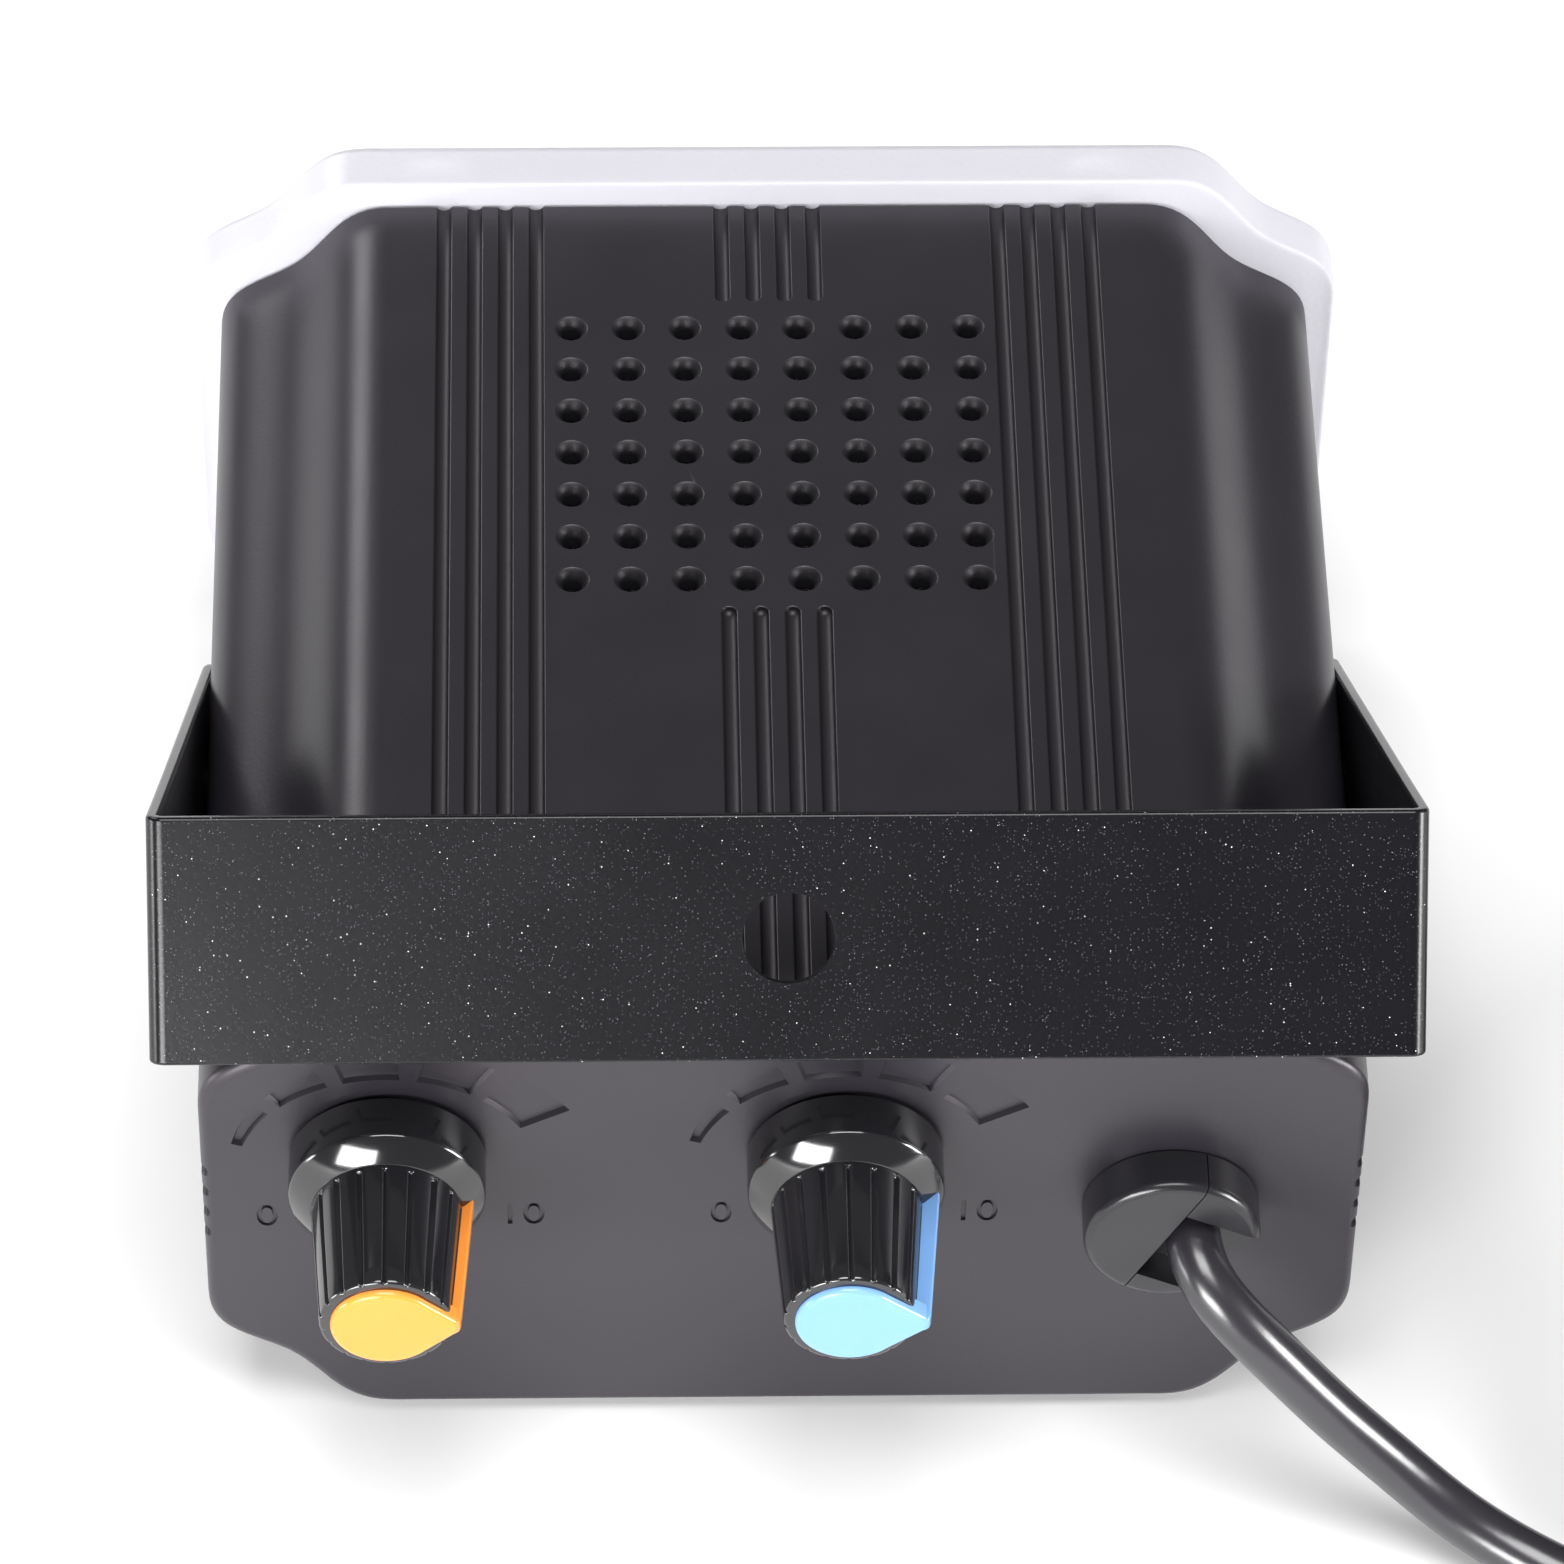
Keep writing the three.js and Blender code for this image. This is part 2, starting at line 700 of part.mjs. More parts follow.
const filmCapacitorSize = [13, 6, 11];
const filmCapacitorPlace = onBoard(-0.5373, -0.4483);
const bulkCapacitorRadius = 5;
const bulkCapacitorHeight = 16;
const bulkCapacitorPlace = onBoard(-0.5075, 0.5172);
const inductorRadius = 4;
const inductorHeight = 9;
const inductorWaist = 2.6;
const inductorPlace = onBoard(0, 0.5862);
const rectifierSize = [8, 6, 3];
const rectifierPlace = onBoard(-0.1194, -0.3793);
const transistorSize = [10, 4.4, 15];
const transistorTab = 1.3;
const heatsinkSize = [18, 9, 20];
const heatsinkWall = 1.5;
const heatsinkPlace = onBoard(0.5075, 0.4483);
const chipSize = [10, 6.4, 3.4];
const chipPlace = onBoard(0.0597, 0.1034);
const fuseRadius = 2.6;
const fuseLength = 20;
const fuseCapLength = 5;
const fuseInset = 17.2;
const fusePlace = [reliefX - fuseInset, onBoard(0, -0.3793)[1]];

function standing(size, place) {
  const [width, depth, height] = size;
  return block(width, depth, height, place[0], place[1], driverTop + height / 2);
}

function bulkCapacitor() {
  const edge = bulkCapacitorRadius * 0.12;
  return turned([
    [0, 0],
    [bulkCapacitorRadius, 0],
    [bulkCapacitorRadius, bulkCapacitorHeight - edge],
    [bulkCapacitorRadius - edge, bulkCapacitorHeight],
    [0, bulkCapacitorHeight],
  ], 16).rotateX(Math.PI / 2).translate(...bulkCapacitorPlace, driverTop);
}

function inductor() {
  const flange = inductorHeight * 0.15;
  return turned([
    [0, 0],
    [inductorRadius, 0],
    [inductorRadius, flange],
    [inductorWaist, flange],
    [inductorWaist, inductorHeight - flange],
    [inductorRadius, inductorHeight - flange],
    [inductorRadius, inductorHeight],
    [0, inductorHeight],
  ], 14).rotateX(Math.PI / 2).translate(...inductorPlace, driverTop);
}

function heatsink() {
  const [width, depth, height] = heatsinkSize;
  const hollow = [width - 2 * heatsinkWall, depth, height + 2 * overrun];
  const [x, y] = heatsinkPlace;
  const channel = block(hollow[0], hollow[1], hollow[2], x, y - heatsinkWall, driverTop + height / 2);
  return cut(standing(heatsinkSize, heatsinkPlace), channel);
}

function switchTransistor() {
  const [x, y] = heatsinkPlace;
  const back = y + heatsinkSize[1] / 2 - heatsinkWall - seat;
  const [width, depth, height] = transistorSize;
  const bodyHeight = height * 0.6;
  const tab = block(width, transistorTab, height, x, back - transistorTab / 2, driverTop + height / 2);
  const body = block(width, depth, bodyHeight, x, back - depth / 2, driverTop + bodyHeight / 2);
  return join(tab, body);
}

function fuse() {
  const half = fuseLength / 2;
  return turned([
    [0, -half],
    [fuseRadius, -half],
    [fuseRadius, -half + fuseCapLength],
    [fuseRadius * 0.88, -half + fuseCapLength],
    [fuseRadius * 0.88, half - fuseCapLength],
    [fuseRadius, half - fuseCapLength],
    [fuseRadius, half],
    [0, half],
  ], 12).translate(fusePlace[0], fusePlace[1], driverTop + fuseRadius);
}

// Potentiometer: a round can behind the panel and a threaded bush through it
function potentiometer(x) {
  const [back, front] = [panelInside + slip + potDepth, panelInside + slip];
  const bushEnd = rearFace - bushReach;
  const boreRadius = (bushRadius + shaftRadius) / 2;
  return turned([
    [0, back],
    [potRadius, back],
    [potRadius, front],
    [bushRadius, front],
    [bushRadius, bushEnd],
    [boreRadius, bushEnd],
    [boreRadius, front],
    [0, front],
  ], 20).translate(x, 0, knobZ);
}

function potShaft(x) {
  return rodY(shaftRadius, knobBack - shaftReach, panelInside - slip, x, knobZ, 20);
}

function ringY(inner, outer, y0, y1, x, z, sides) {
  const bore = rodY(inner, y0 - overrun, y1 + overrun, x, z, sides);
  return cut(rodY(outer, y0, y1, x, z, sides), bore);
}

function potWasher(x) {
  const [front, back] = [rearFace - washerThickness, rearFace - slip / 2];
  return ringY(bushRadius + slip, washerRadius, front, back, x, knobZ, 20);
}

function potNut(x) {
  const back = rearFace - washerThickness - slip;
  const bore = rodY(bushRadius + slip, back - nutThickness - overrun, back + overrun, x, knobZ, 20);
  return cut(rodY(nutRadius, back - nutThickness, back, x, knobZ, 6), bore);
}

// A round ring with straight flutes: one corner on each crest and two in each valley
function flutedRing(radius, depth, y) {
  const count = knobFlutes * 3;
  const corners = [];
  for (let i = 0; i < count; i++) {
    const turn = ((i + 0.5) / count) * 2 * Math.PI;
    const reach = i % 3 === 1 ? radius : radius - depth;
    corners.push(new THREE.Vector3(reach * Math.cos(turn), y, reach * Math.sin(turn)));
  }
  return corners;
}

// The pointer's rib in X and Y, beside the knob's axis and grown by a clearance
function ribOutline(grow) {
  const base = knobBack - skirtLength - seat + grow;
  return [
    point(pointerRoot - grow, base),
    point(pointerBaseReach + grow, base),
    point(pointerEndReach + grow, pointerFront),
    point(pointerRoot - grow, pointerFront),
  ];
}

function knob(x) {
  const bodyBack = knobBack - skirtLength - bevelLength;
  const body = loftY([
    flutedRing(knobEndRadius - knobEdge, 0, knobFront),
    flutedRing(knobEndRadius, fluteDepth, knobFront + knobEdge),
    flutedRing(knobBaseRadius, fluteDepth, bodyBack - knobEdge),
    flutedRing(knobBaseRadius, 0, bodyBack),
    flutedRing(skirtRadius, 0, knobBack - skirtLength),
    flutedRing(skirtRadius, 0, knobBack),
  ]);
  const slot = alongZ(ribOutline(slip), pointerWidth + 2 * slip);
  const tools = [
    rodY(knobCavityRadius, knobBack - knobCavityDepth, knobBack + overrun, 0, 0, 24),
    rodY(shaftRadius + seat, knobBack - shaftReach - seat, knobBack, 0, 0, 20),
    slot,
  ];
  return cut(body, tools).translate(x, 0, knobZ);
}

// Coloured cap: a teardrop on the knob's end and a rib down its side
function pointerCap(x) {
  const outline = [];
  const tangent = Math.acos(pointerDiscRadius / pointerEndReach);
  const steps = 14;
  for (let i = 0; i <= steps; i++) {
    const turn = tangent + (i / steps) * (2 * Math.PI - 2 * tangent);
    outline.push(point(pointerDiscRadius * Math.cos(turn), pointerDiscRadius * Math.sin(turn)));
  }
  outline.push(point(pointerEndReach, -pointerWidth / 2), point(pointerEndReach, pointerWidth / 2));
  const disc = alongY(outline, pointerThickness, pointerFront);
  const rib = alongZ(ribOutline(0), pointerWidth);
  return join(disc, rib).translate(x, 0, knobZ);
}

// Strain relief before it leans: a round head and a shank, bored beside the upright plane that splits
// them, and a pocket from that plane outwards where the cord turns
function reliefBody() {
  const headFront = rearFace - reliefHeadLength;
  const headBack = rearFace - slip;
  const shankEnd = rearFace + reliefShankLength;
  const body = turned([
    [0, headFront],
    [reliefHeadRadius - reliefChamfer, headFront],
    [reliefHeadRadius, headFront + reliefChamfer],
    [reliefHeadRadius, headBack],
    [reliefShankRadius, headBack],
    [reliefShankRadius, shankEnd],
    [0, shankEnd],
  ], 28);
  const pocketReach = 2 * reliefHeadRadius;
  const pocketX = reliefSplitOffset + pocketReach / 2;
  const pocket = block(pocketReach, reliefPocketDepth + overrun, reliefPocketWidth, pocketX, 0, 0);
  pocket.translate(0, headFront + (reliefPocketDepth - overrun) / 2, reliefPocketShift);
  const bore = rodY(cordRadius + seat, headFront - overrun, shankEnd + overrun, boreShift, 0, 16);
  return cut(body, pocket, bore);
}

// The half of the relief on one side of its split, leant over in its place
function reliefHalf(side) {
  const size = 4 * reliefHeadRadius;
  const half = block(size, size * 2, size, side * (size / 2 + slip) + reliefSplitOffset, rearFace, 0);
  return keep(reliefBody(), half).rotateY(reliefLean).translate(reliefX, 0, reliefZ);
}

// Bracket in its own frame: the pivots on X through the origin, the bar towards -Y
function bracket() {
  const splay = (bracketBarHalf - bracketPivotHalf) / bracketReach;
  const endRadius = bracketWidth / 2;
  const outer = (reach) => bracketPivotHalf + splay * reach;
  const strip = (inset, bend) => {
    const top = bracketReach - inset;
    const corner = point(outer(bracketReach) - inset - bend, -(top - bend));
    const line = [point(outer(-endRadius) - inset, endRadius)];
    for (let i = 0; i <= 4; i++) {
      const turn = (-i / 4) * Math.PI / 2;
      line.push(point(corner.x + bend * Math.cos(turn), corner.y + bend * Math.sin(turn)));
    }
    return line;
  };
  const mirrored = (line) => line.map((corner) => point(-corner.x, corner.y)).reverse();
  const outside = strip(0, bracketBend);
  const inside = strip(bracketThickness, bracketBend - bracketThickness);
  const outline = [...outside, ...mirrored(outside), ...mirrored(inside).reverse(), ...inside.reverse()];
  const sheet = alongZ(outline, bracketWidth);
  const profile = new THREE.Shape();
  profile.moveTo(-bracketReach - overrun, -endRadius - overrun);
  profile.lineTo(-bracketReach - overrun, endRadius + overrun);
  profile.lineTo(0, endRadius + overrun);
  profile.lineTo(0, endRadius);
  profile.absarc(0, 0, endRadius, Math.PI / 2, -Math.PI / 2, true);
  profile.lineTo(0, -endRadius - overrun);
  const limits = alongX(profile.getPoints(8), 2 * bracketBarHalf + 2 * overrun);
  const barHole = rodY(bracketHoleRadius, -bracketReach - overrun, -bracketReach + 2 * overrun, 0, 0, 24);
  return cut(keep(sheet, limits), barHole, pivotHole(-1), pivotHole(1));
}

// Countersunk hole through a leg, a little larger than the screw in it
function pivotHole(side) {
  const taper = (pivotHeadRadius - pivotRadius) / pivotHeadDepth;
  const coneStart = bracketPivotHalf - slip - pivotHeadDepth;
  const coneEnd = bracketPivotHalf + seat;
  const narrow = pivotRadius + seat;
  const wide = narrow + taper * (coneEnd - coneStart);
  const [x0, x1] = [coneStart - overrun, coneStart + slip];
  return side > 0
    ? join(rodX(narrow, wide, coneStart, coneEnd, 0, 0, 20), rodX(narrow, narrow, x0, x1, 0, 0, 20))
    : join(rodX(wide, narrow, -coneEnd, -coneStart, 0, 0, 20), rodX(narrow, narrow, -x1, -x0, 0, 0, 20));
}

// Countersunk screw, its head just below the bracket's outer face
function pivotScrew(side) {
  const screw = turned([
    [0, 0],
    [pivotHeadRadius, 0],
    [pivotRadius, -pivotHeadDepth],
    [pivotRadius, -pivotLength],
    [0, -pivotLength],
  ], 16).rotateZ(side > 0 ? -Math.PI / 2 : Math.PI / 2);
  return screw.translate(side * (bracketPivotHalf - slip), pivotY, middleZ);
}

function pivotWasher(side) {
  const face = housingWidth / 2 - padDepth + slip / 3;
  const [x0, x1] = [face, face + pivotWasherThickness];
  const disc = (radius, grow) => (side > 0
    ? rodX(radius, radius, x0 - grow, x1 + grow, pivotY, middleZ, 20)
    : rodX(radius, radius, -x1 - grow, -x0 + grow, pivotY, middleZ, 20));
  return cut(disc(pivotWasherRadius, 0), disc(pivotRadius + seat, overrun));
}

function pivotNut(side) {
  const start = housingWidth / 2 - housingWall - pivotBossLength + slip;
  const disc = (radius, grow, sides) => {
    const [x0, x1] = [start - grow, start + pivotNutThickness + grow];
    return side > 0
      ? rodX(radius, radius, x0, x1, pivotY, middleZ, sides)
      : rodX(radius, radius, -x1, -x0, pivotY, middleZ, sides);
  };
  return cut(disc(pivotNutRadius, 0, 6), disc(pivotRadius + slip, overrun, 12));
}

// Leads inside the housing, each a route chosen by hand: X and Y from where it starts, and its height
// in shares from the driver board up to the start
function lead(route, startZ, radius, sides, steps) {
  const heightAt = (share) => leadEndZ + share * (startZ - leadEndZ);
  const points = route.map(([x, y, share]) => new THREE.Vector3(x, y, heightAt(share)));
  return tube(new THREE.CatmullRomCurve3(points), radius, sides, steps);
}

const mainsLeadRoute = [[0, 9, 1], [0, 12, 0.972], [-1, 14.6, 0.718], [-2.4, 15.4, 0.338], [-2.8, 15.6, 0]];
const lampLeadRoute = [[5, -11, 1], [5, -14, 1.062], [5, -18, 1.125], [5, -21, 0.906], [5, -22, 0]];
const potLeadRoute = [[0, 10.9, 1], [0, 13.2, 0.963], [0, 14.4, 0.63], [0, 14.4, 0.259], [0, 14, 0]];
const leadEndZ = driverTop + leadRise;

function mainsLead() {
  return lead(mainsLeadRoute, boreZ, mainsLeadRadius, 8, 8).translate(boreX, rearFace, 0);
}

function lampLead() {
  return lead(lampLeadRoute, leadEndZ + lampLeadHeight, lampLeadRadius, 6, 8).translate(0, frontFace, 0);
}

function potLead(x) {
  return lead(potLeadRoute, knobZ - potLeadDrop, potLeadRadius, 6, 8).translate(x, rearFace, 0);
}

// Supply cord from inside the strain relief down to the table, its heights in shares of that drop
const cordRoute = [
  [0, 8.6, 1], [0, 4.4, 1], [0, 0.8, 1], [0.03, -1.4, 0.998], [0.22, -3.5, 0.983], [1.05, -5.7, 0.943],
  [3.3, -7.8, 0.85], [6.8, -9.3, 0.695], [11.2, -10.6, 0.484], [16.2, -12.1, 0.277],
  [21.2, -14.2, 0.112], [26.6, -17, 0.026], [32.7, -20.2, 0], [40.2, -23.6, 0], [50.2, -26.9, 0.013],
];
const tailRoute = [
  [103.57, -13, 7.4], [110.47, -4.6, 6.7], [116.37, 4.4, 6.3], [119.77, 13.4, 6.2],
];

// The coil: an inward spiral on the table, a climb at its middle, and an outward spiral on top
class CoilCurve extends THREE.Curve {
  getPoint(share, target = new THREE.Vector3()) {
    const turn = share * (coilLoops + coilExtra / 360);
    const fromMiddle = turn - coilLoops / 2;
    const radius = coilInnerRadius + coilPitch * Math.abs(fromMiddle);
    const climb = THREE.MathUtils.smoothstep(fromMiddle, -0.25, 0.25);
    const angle = THREE.MathUtils.degToRad(coilEntry) + turn * 2 * Math.PI;
    const [x, y] = [coilX + radius * Math.cos(angle), coilY + radius * Math.sin(angle)];
    return target.set(x, y, coilLie + climb * coilPitch);
  }
}

// A curve that is stepped through its own points instead of by length
class SteppedCurve extends THREE.CatmullRomCurve3 {
  getUtoTmapping(share) {
    return share;
  }
}

const coilCurve = new CoilCurve();
const coilSteps = Math.round((coilLoops + coilExtra / 360) * coilStepsPerLoop);

function freeCord() {
  const entry = coilCurve.getPoint(0).addScaledVector(coilCurve.getTangent(0), -seat);
  const drop = boreZ + footHeight - cordLie;
  const points = cordRoute.map(([x, y, share]) => new THREE.Vector3(x, y, cordLie + share * drop));
  const curve = new THREE.CatmullRomCurve3([...points, entry]);
  return tube(curve, cordRadius, cordSides, Math.round(curve.getLength() / cordStep) + cordSides);
}

// The coil and its tail, which runs beside it to the plug
function coil() {
  const turns = coilCurve.getPoints(coilSteps);
  const end = new THREE.Vector3(plugX, plugY + sleeveBoreLength - seat, plugLie);
  const neck = new THREE.Vector3(plugX, plugY, plugLie);
  const toPlug = tailRoute.map((place) => new THREE.Vector3(...place));
  const tail = [turns.at(-2), turns.at(-1), ...toPlug, neck, end];
  const tailPoints = new THREE.CatmullRomCurve3(tail).getPoints(coilTailSteps * 2);
  const rest = tailPoints.filter((_, i) => i > 3 && i % 2);
  const curve = new SteppedCurve([...turns, ...rest, end]);
  return tube(curve, cordRadius, coilSides, curve.points.length - 1);
}

// Least distance between the coil's own turns, less the cord's thickness
function leastCoilGap() {
  const places = coilCurve.getPoints(coilSteps * 2);
  let least = Infinity;
  for (let i = 0; i < places.length; i++) {
    for (let j = i + coilStepsPerLoop; j < places.length; j++) {
      least = Math.min(least, places[i].distanceTo(places[j]));
    }
  }
  return least - 2 * cordRadius;
}

// A rectangle with round corners in X and Z, with the same number of points for any size
function roundedOutline(x0, x1, z0, z1, corner, steps = 4) {
  const centres = [[x1, z1, 0], [x0, z1, 1], [x0, z0, 2], [x1, z0, 3]];
  const outline = [];
  for (const [x, z, quarter] of centres) {
    const [cx, cz] = [x + (x === x1 ? -corner : corner), z + (z === z1 ? -corner : corner)];
    for (let i = 0; i <= steps; i++) {
      const turn = (quarter + i / steps) * Math.PI / 2;
      outline.push(point(cx + corner * Math.cos(turn), cz + corner * Math.sin(turn)));
    }
  }
  return outline;
}

// A band round the whole bundle, bent to shape in the plane through the coil's axis
function coilTie() {
  const turnAt = ((tieAngle - coilEntry + 360) % 360) / 360;
  const radii = [];
  for (let turn = turnAt; turn < coilLoops; turn++) {
    radii.push(coilInnerRadius + coilPitch * Math.abs(turn - coilLoops / 2));
  }
  const room = cordRadius + seat;
  const [r0, r1] = [Math.min(...radii) - room, Math.max(...radii) + room];
  const [z0, z1] = [coilLie - room, coilLie + coilPitch + room];
  const outer = roundedOutline(
    r0 - tieThickness, r1 + tieThickness, z0 - tieThickness, z1 + tieThickness, tieCorner + tieThickness);
  const inner = roundedOutline(r0, r1, z0, z1, tieCorner);
  const band = cut(
    alongY(outer, tieWidth, -tieWidth / 2),
    alongY(inner, tieWidth + 2 * overrun, -tieWidth / 2 - overrun),
  );
  return band.rotateZ(THREE.MathUtils.degToRad(tieAngle)).translate(coilX, coilY, 0);
}

function plugBody() {
  const round = (radius, y) => {
    const outline = roundedOutline(-radius, radius, -radius, radius, radius);
    return ringAt(outline, y);
  };
  const flat = (share, y) => {
    const [halfWidth, halfHeight] = [plugWidth * share / 2, plugHeight * share / 2];
    return ringAt(roundedOutline(-halfWidth, halfWidth, -halfHeight, halfHeight, plugCorner * share), y);
  };
  const end = sleeveLength + plugLength;
  const body = loftY([
    round(sleeveStartRadius, 0),
    round(sleeveRadius, sleeveLength),
    flat(0.84, sleeveLength + plugShoulder),
    flat(1, sleeveLength + 2 * plugShoulder),
    flat(1, end - plugShoulder / 4),
    flat(0.94, end),
  ]);
  const tools = [
    rodY(cordRadius + slip, -overrun, sleeveBoreLength, 0, 0, 16),
    rodY(pinRadius + slip, end - pinRootLength - slip, end + overrun, -pinSpacing / 2, 0, 12),
    rodY(pinRadius + slip, end - pinRootLength - slip, end + overrun, pinSpacing / 2, 0, 12),
  ];
  return cut(body, tools).translate(plugX, plugY, plugLie);
}

function plugPin(side) {
  const end = sleeveLength + plugLength;
  return turned([
    [0, end - pinRootLength],
    [pinRadius, end - pinRootLength],
    [pinRadius, end + pinLength - pinRadius / 2],
    [pinRadius / 2, end + pinLength],
    [0, end + pinLength],
  ], 12).translate(plugX + side * pinSpacing / 2, plugY, plugLie);
}

function add(group, name, geometry, color, roughness, metalness) {
  const material = new THREE.MeshStandardMaterial({ color, roughness, metalness });
  const mesh = new THREE.Mesh(closed(geometry), material);
  mesh.name = name;
  group.add(mesh);
  return mesh;
}

console.log(`least gap between the turns of the coil: ${leastCoilGap().toFixed(2)} mm`);

const strobe = new THREE.Group();
const light = new THREE.Group();
const cord = new THREE.Group();
strobe.add(light, cord);

const moulded = [0x242327, 0.5, 0];
const glossy = [0x151517, 0.25, 0];
const steel = [0xb9bcc2, 0.35, 1];
const circuit = [0x1f5a37, 0.55, 0];
const copper = [0xb06a3a, 0.4, 1];

add(light, 'housing', housing(), ...moulded);
add(light, 'lens_cover', cover(), 0xf0eefa, 0.3, 0);
coverScrewPlaces().forEach((place, i) => add(light, `lens_screw_${i + 1}`, coverScrew(place), ...steel));
footPlaces.forEach((place, i) => add(light, `foot_${i + 1}`, foot(place), 0x1b1b1c, 0.8, 0));

add(light, 'led_board', lampBoard(), 0xe8e8e4, 0.5, 0);
add(light, 'led_array', lampArray(), 0xf4f2e0, 0.2, 0);
ledgeScrewPlaces().forEach((place, i) => add(light, `led_screw_${i + 1}`, lampBoardScrew(place), ...steel));
add(light, 'led_lead', lampLead(), 0xb02424, 0.5, 0);

add(light, 'driver_board', driverBoard(), ...circuit);
const heldPosts = [postPlaces()[0], postPlaces()[3]];
heldPosts.forEach((place, i) => add(light, `board_screw_${i + 1}`, driverScrew(place), ...steel));
add(light, 'film_capacitor', standing(filmCapacitorSize, filmCapacitorPlace), 0xc9a227, 0.45, 0);
add(light, 'bulk_capacitor', bulkCapacitor(), 0x2b3a63, 0.4, 0);
add(light, 'inductor', inductor(), ...copper);
add(light, 'rectifier', standing(rectifierSize, rectifierPlace), ...glossy);
add(light, 'heatsink', heatsink(), 0x9fa3a8, 0.4, 1);
add(light, 'switch_transistor', switchTransistor(), ...glossy);
add(light, 'controller_chip', standing(chipSize, chipPlace), ...glossy);
add(light, 'fuse', fuse(), 0xd5d8dc, 0.2, 0.3);
add(light, 'mains_lead', mainsLead(), 0x6b4a2f, 0.5, 0);

for (const [side, x, color] of [['left', knobLeftX, 0xf2b23a], ['right', knobRightX, 0x4aa3d8]]) {
  add(light, `potentiometer_${side}`, potentiometer(x), 0x8f9499, 0.4, 1);
  add(light, `pot_shaft_${side}`, potShaft(x), ...steel);
  add(light, `pot_washer_${side}`, potWasher(x), ...steel);
  add(light, `pot_nut_${side}`, potNut(x), ...steel);
  add(light, `pot_lead_${side}`, potLead(x), 0xd8d8d8, 0.5, 0);
  add(light, `knob_${side}`, knob(x), ...glossy);
  add(light, `pointer_${side}`, pointerCap(x), color, 0.3, 0);
}

add(light, 'strain_relief_shell', reliefHalf(-1), ...glossy);
add(light, 'strain_relief_wedge', reliefHalf(1), ...glossy);

for (const [name, side] of [['left', -1], ['right', 1]]) {
  add(light, `pivot_screw_${name}`, pivotScrew(side), ...steel);
  add(light, `pivot_washer_${name}`, pivotWasher(side), ...steel);
  add(light, `pivot_nut_${name}`, pivotNut(side), ...steel);
}
const tilted = bracket().rotateX(-restTilt).translate(0, pivotY, middleZ);
add(light, 'bracket', tilted, 0x2c2c30, 0.6, 0.5);

add(cord, 'power_cord', freeCord(), ...glossy);
add(cord, 'cord_coil', coil(), ...glossy);
add(cord, 'coil_tie', coilTie(), 0xdcdcdc, 0.5, 0);
add(cord, 'plug_body', plugBody(), ...glossy);
add(cord, 'plug_pin_left', plugPin(-1), ...steel);
add(cord, 'plug_pin_right', plugPin(1), ...steel);

// Table under the feet at Z = 0, the middle of the light at X = 0 and Y = 0. The cord's points are
// measured from the middle of the strain relief's bore on the panel.
const middleY = (pointerFront + coverFront) / 2;
light.position.set(0, -middleY, footHeight);
cord.position.set(boreX, rearFace - middleY, 0);

export default strobe;
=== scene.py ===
"""Small strobe light on a pale table: moulded housing, frosted cover, steel bracket, two knobs, cord.
Sizes are in millimetres until solid() makes the meshes. The camera, table and lamps are in metres."""

import bmesh
import bpy
import numpy as np
from mathutils import Matrix, Vector


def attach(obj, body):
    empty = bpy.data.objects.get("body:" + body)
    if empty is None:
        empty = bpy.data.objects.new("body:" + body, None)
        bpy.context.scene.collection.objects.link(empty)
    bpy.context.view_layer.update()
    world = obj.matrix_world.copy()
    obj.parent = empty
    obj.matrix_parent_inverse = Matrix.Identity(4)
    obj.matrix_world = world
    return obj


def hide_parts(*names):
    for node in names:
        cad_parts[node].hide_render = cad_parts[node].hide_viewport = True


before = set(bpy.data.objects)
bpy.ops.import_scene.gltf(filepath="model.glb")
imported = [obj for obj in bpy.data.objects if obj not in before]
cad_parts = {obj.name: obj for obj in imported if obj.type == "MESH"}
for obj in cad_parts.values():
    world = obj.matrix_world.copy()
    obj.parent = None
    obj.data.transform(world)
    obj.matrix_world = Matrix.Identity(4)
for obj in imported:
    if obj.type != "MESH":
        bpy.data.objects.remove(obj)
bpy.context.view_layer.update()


# Camera
# A long lens about 0.7 m away, looking down at the rear panel from a little left of the middle.
eye = Vector((-0.01553, -0.456735, 0.55909))
view_right = Vector((0.9997, -0.0199, 0.0134))
view_up = Vector((0.0061, 0.7535, 0.6574))
view_back = Vector((-0.0232, -0.6571, 0.7534))
camera_data = bpy.data.cameras.new("camera")
camera_data.sensor_width = 36
camera_data.lens = 200.63
camera = bpy.data.objects.new("camera", camera_data)
camera_turn = Matrix((view_right, view_up, view_back)).transposed().to_4x4()
camera.matrix_world = Matrix.Translation(eye) @ camera_turn
bpy.context.collection.objects.link(camera)
bpy.context.scene.camera = camera


# Supply cord
# A round two-core cord with a soft black jacket. The strain relief holds it in the panel; it drops to
# the table, runs off to the right and is stored there as a coil of seven loops.
cord_shift = np.array([0, 5.975, 0])  # from the points' origin, the housing's middle, to the frame's
cord_radius = 2.2
cord_from_relief = np.array([
    [31.83, -33.4, 25.57], [31.83, -37.6, 25.57], [31.83, -41.2, 25.57], [31.86, -43.4, 25.52],
    [32.05, -45.5, 25.18], [32.88, -47.7, 24.25], [35.13, -49.8, 22.1], [38.63, -51.3, 18.5],
    [43.03, -52.6, 13.62], [48.03, -54.1, 8.82], [53.03, -56.2, 5], [58.43, -59, 3],
    [64.53, -62.2, 2.4], [72.03, -65.6, 2.4], [82.03, -68.9, 2.7]])
cord_to_plug = np.array([
    [135.4, -55, 7.4], [142.3, -46.6, 6.7], [148.2, -37.6, 6.3], [151.6, -28.6, 6.2], [152, -24, 6.2],
    [152, -20.3, 6.2]])
coil_centre = np.array([103, -37])
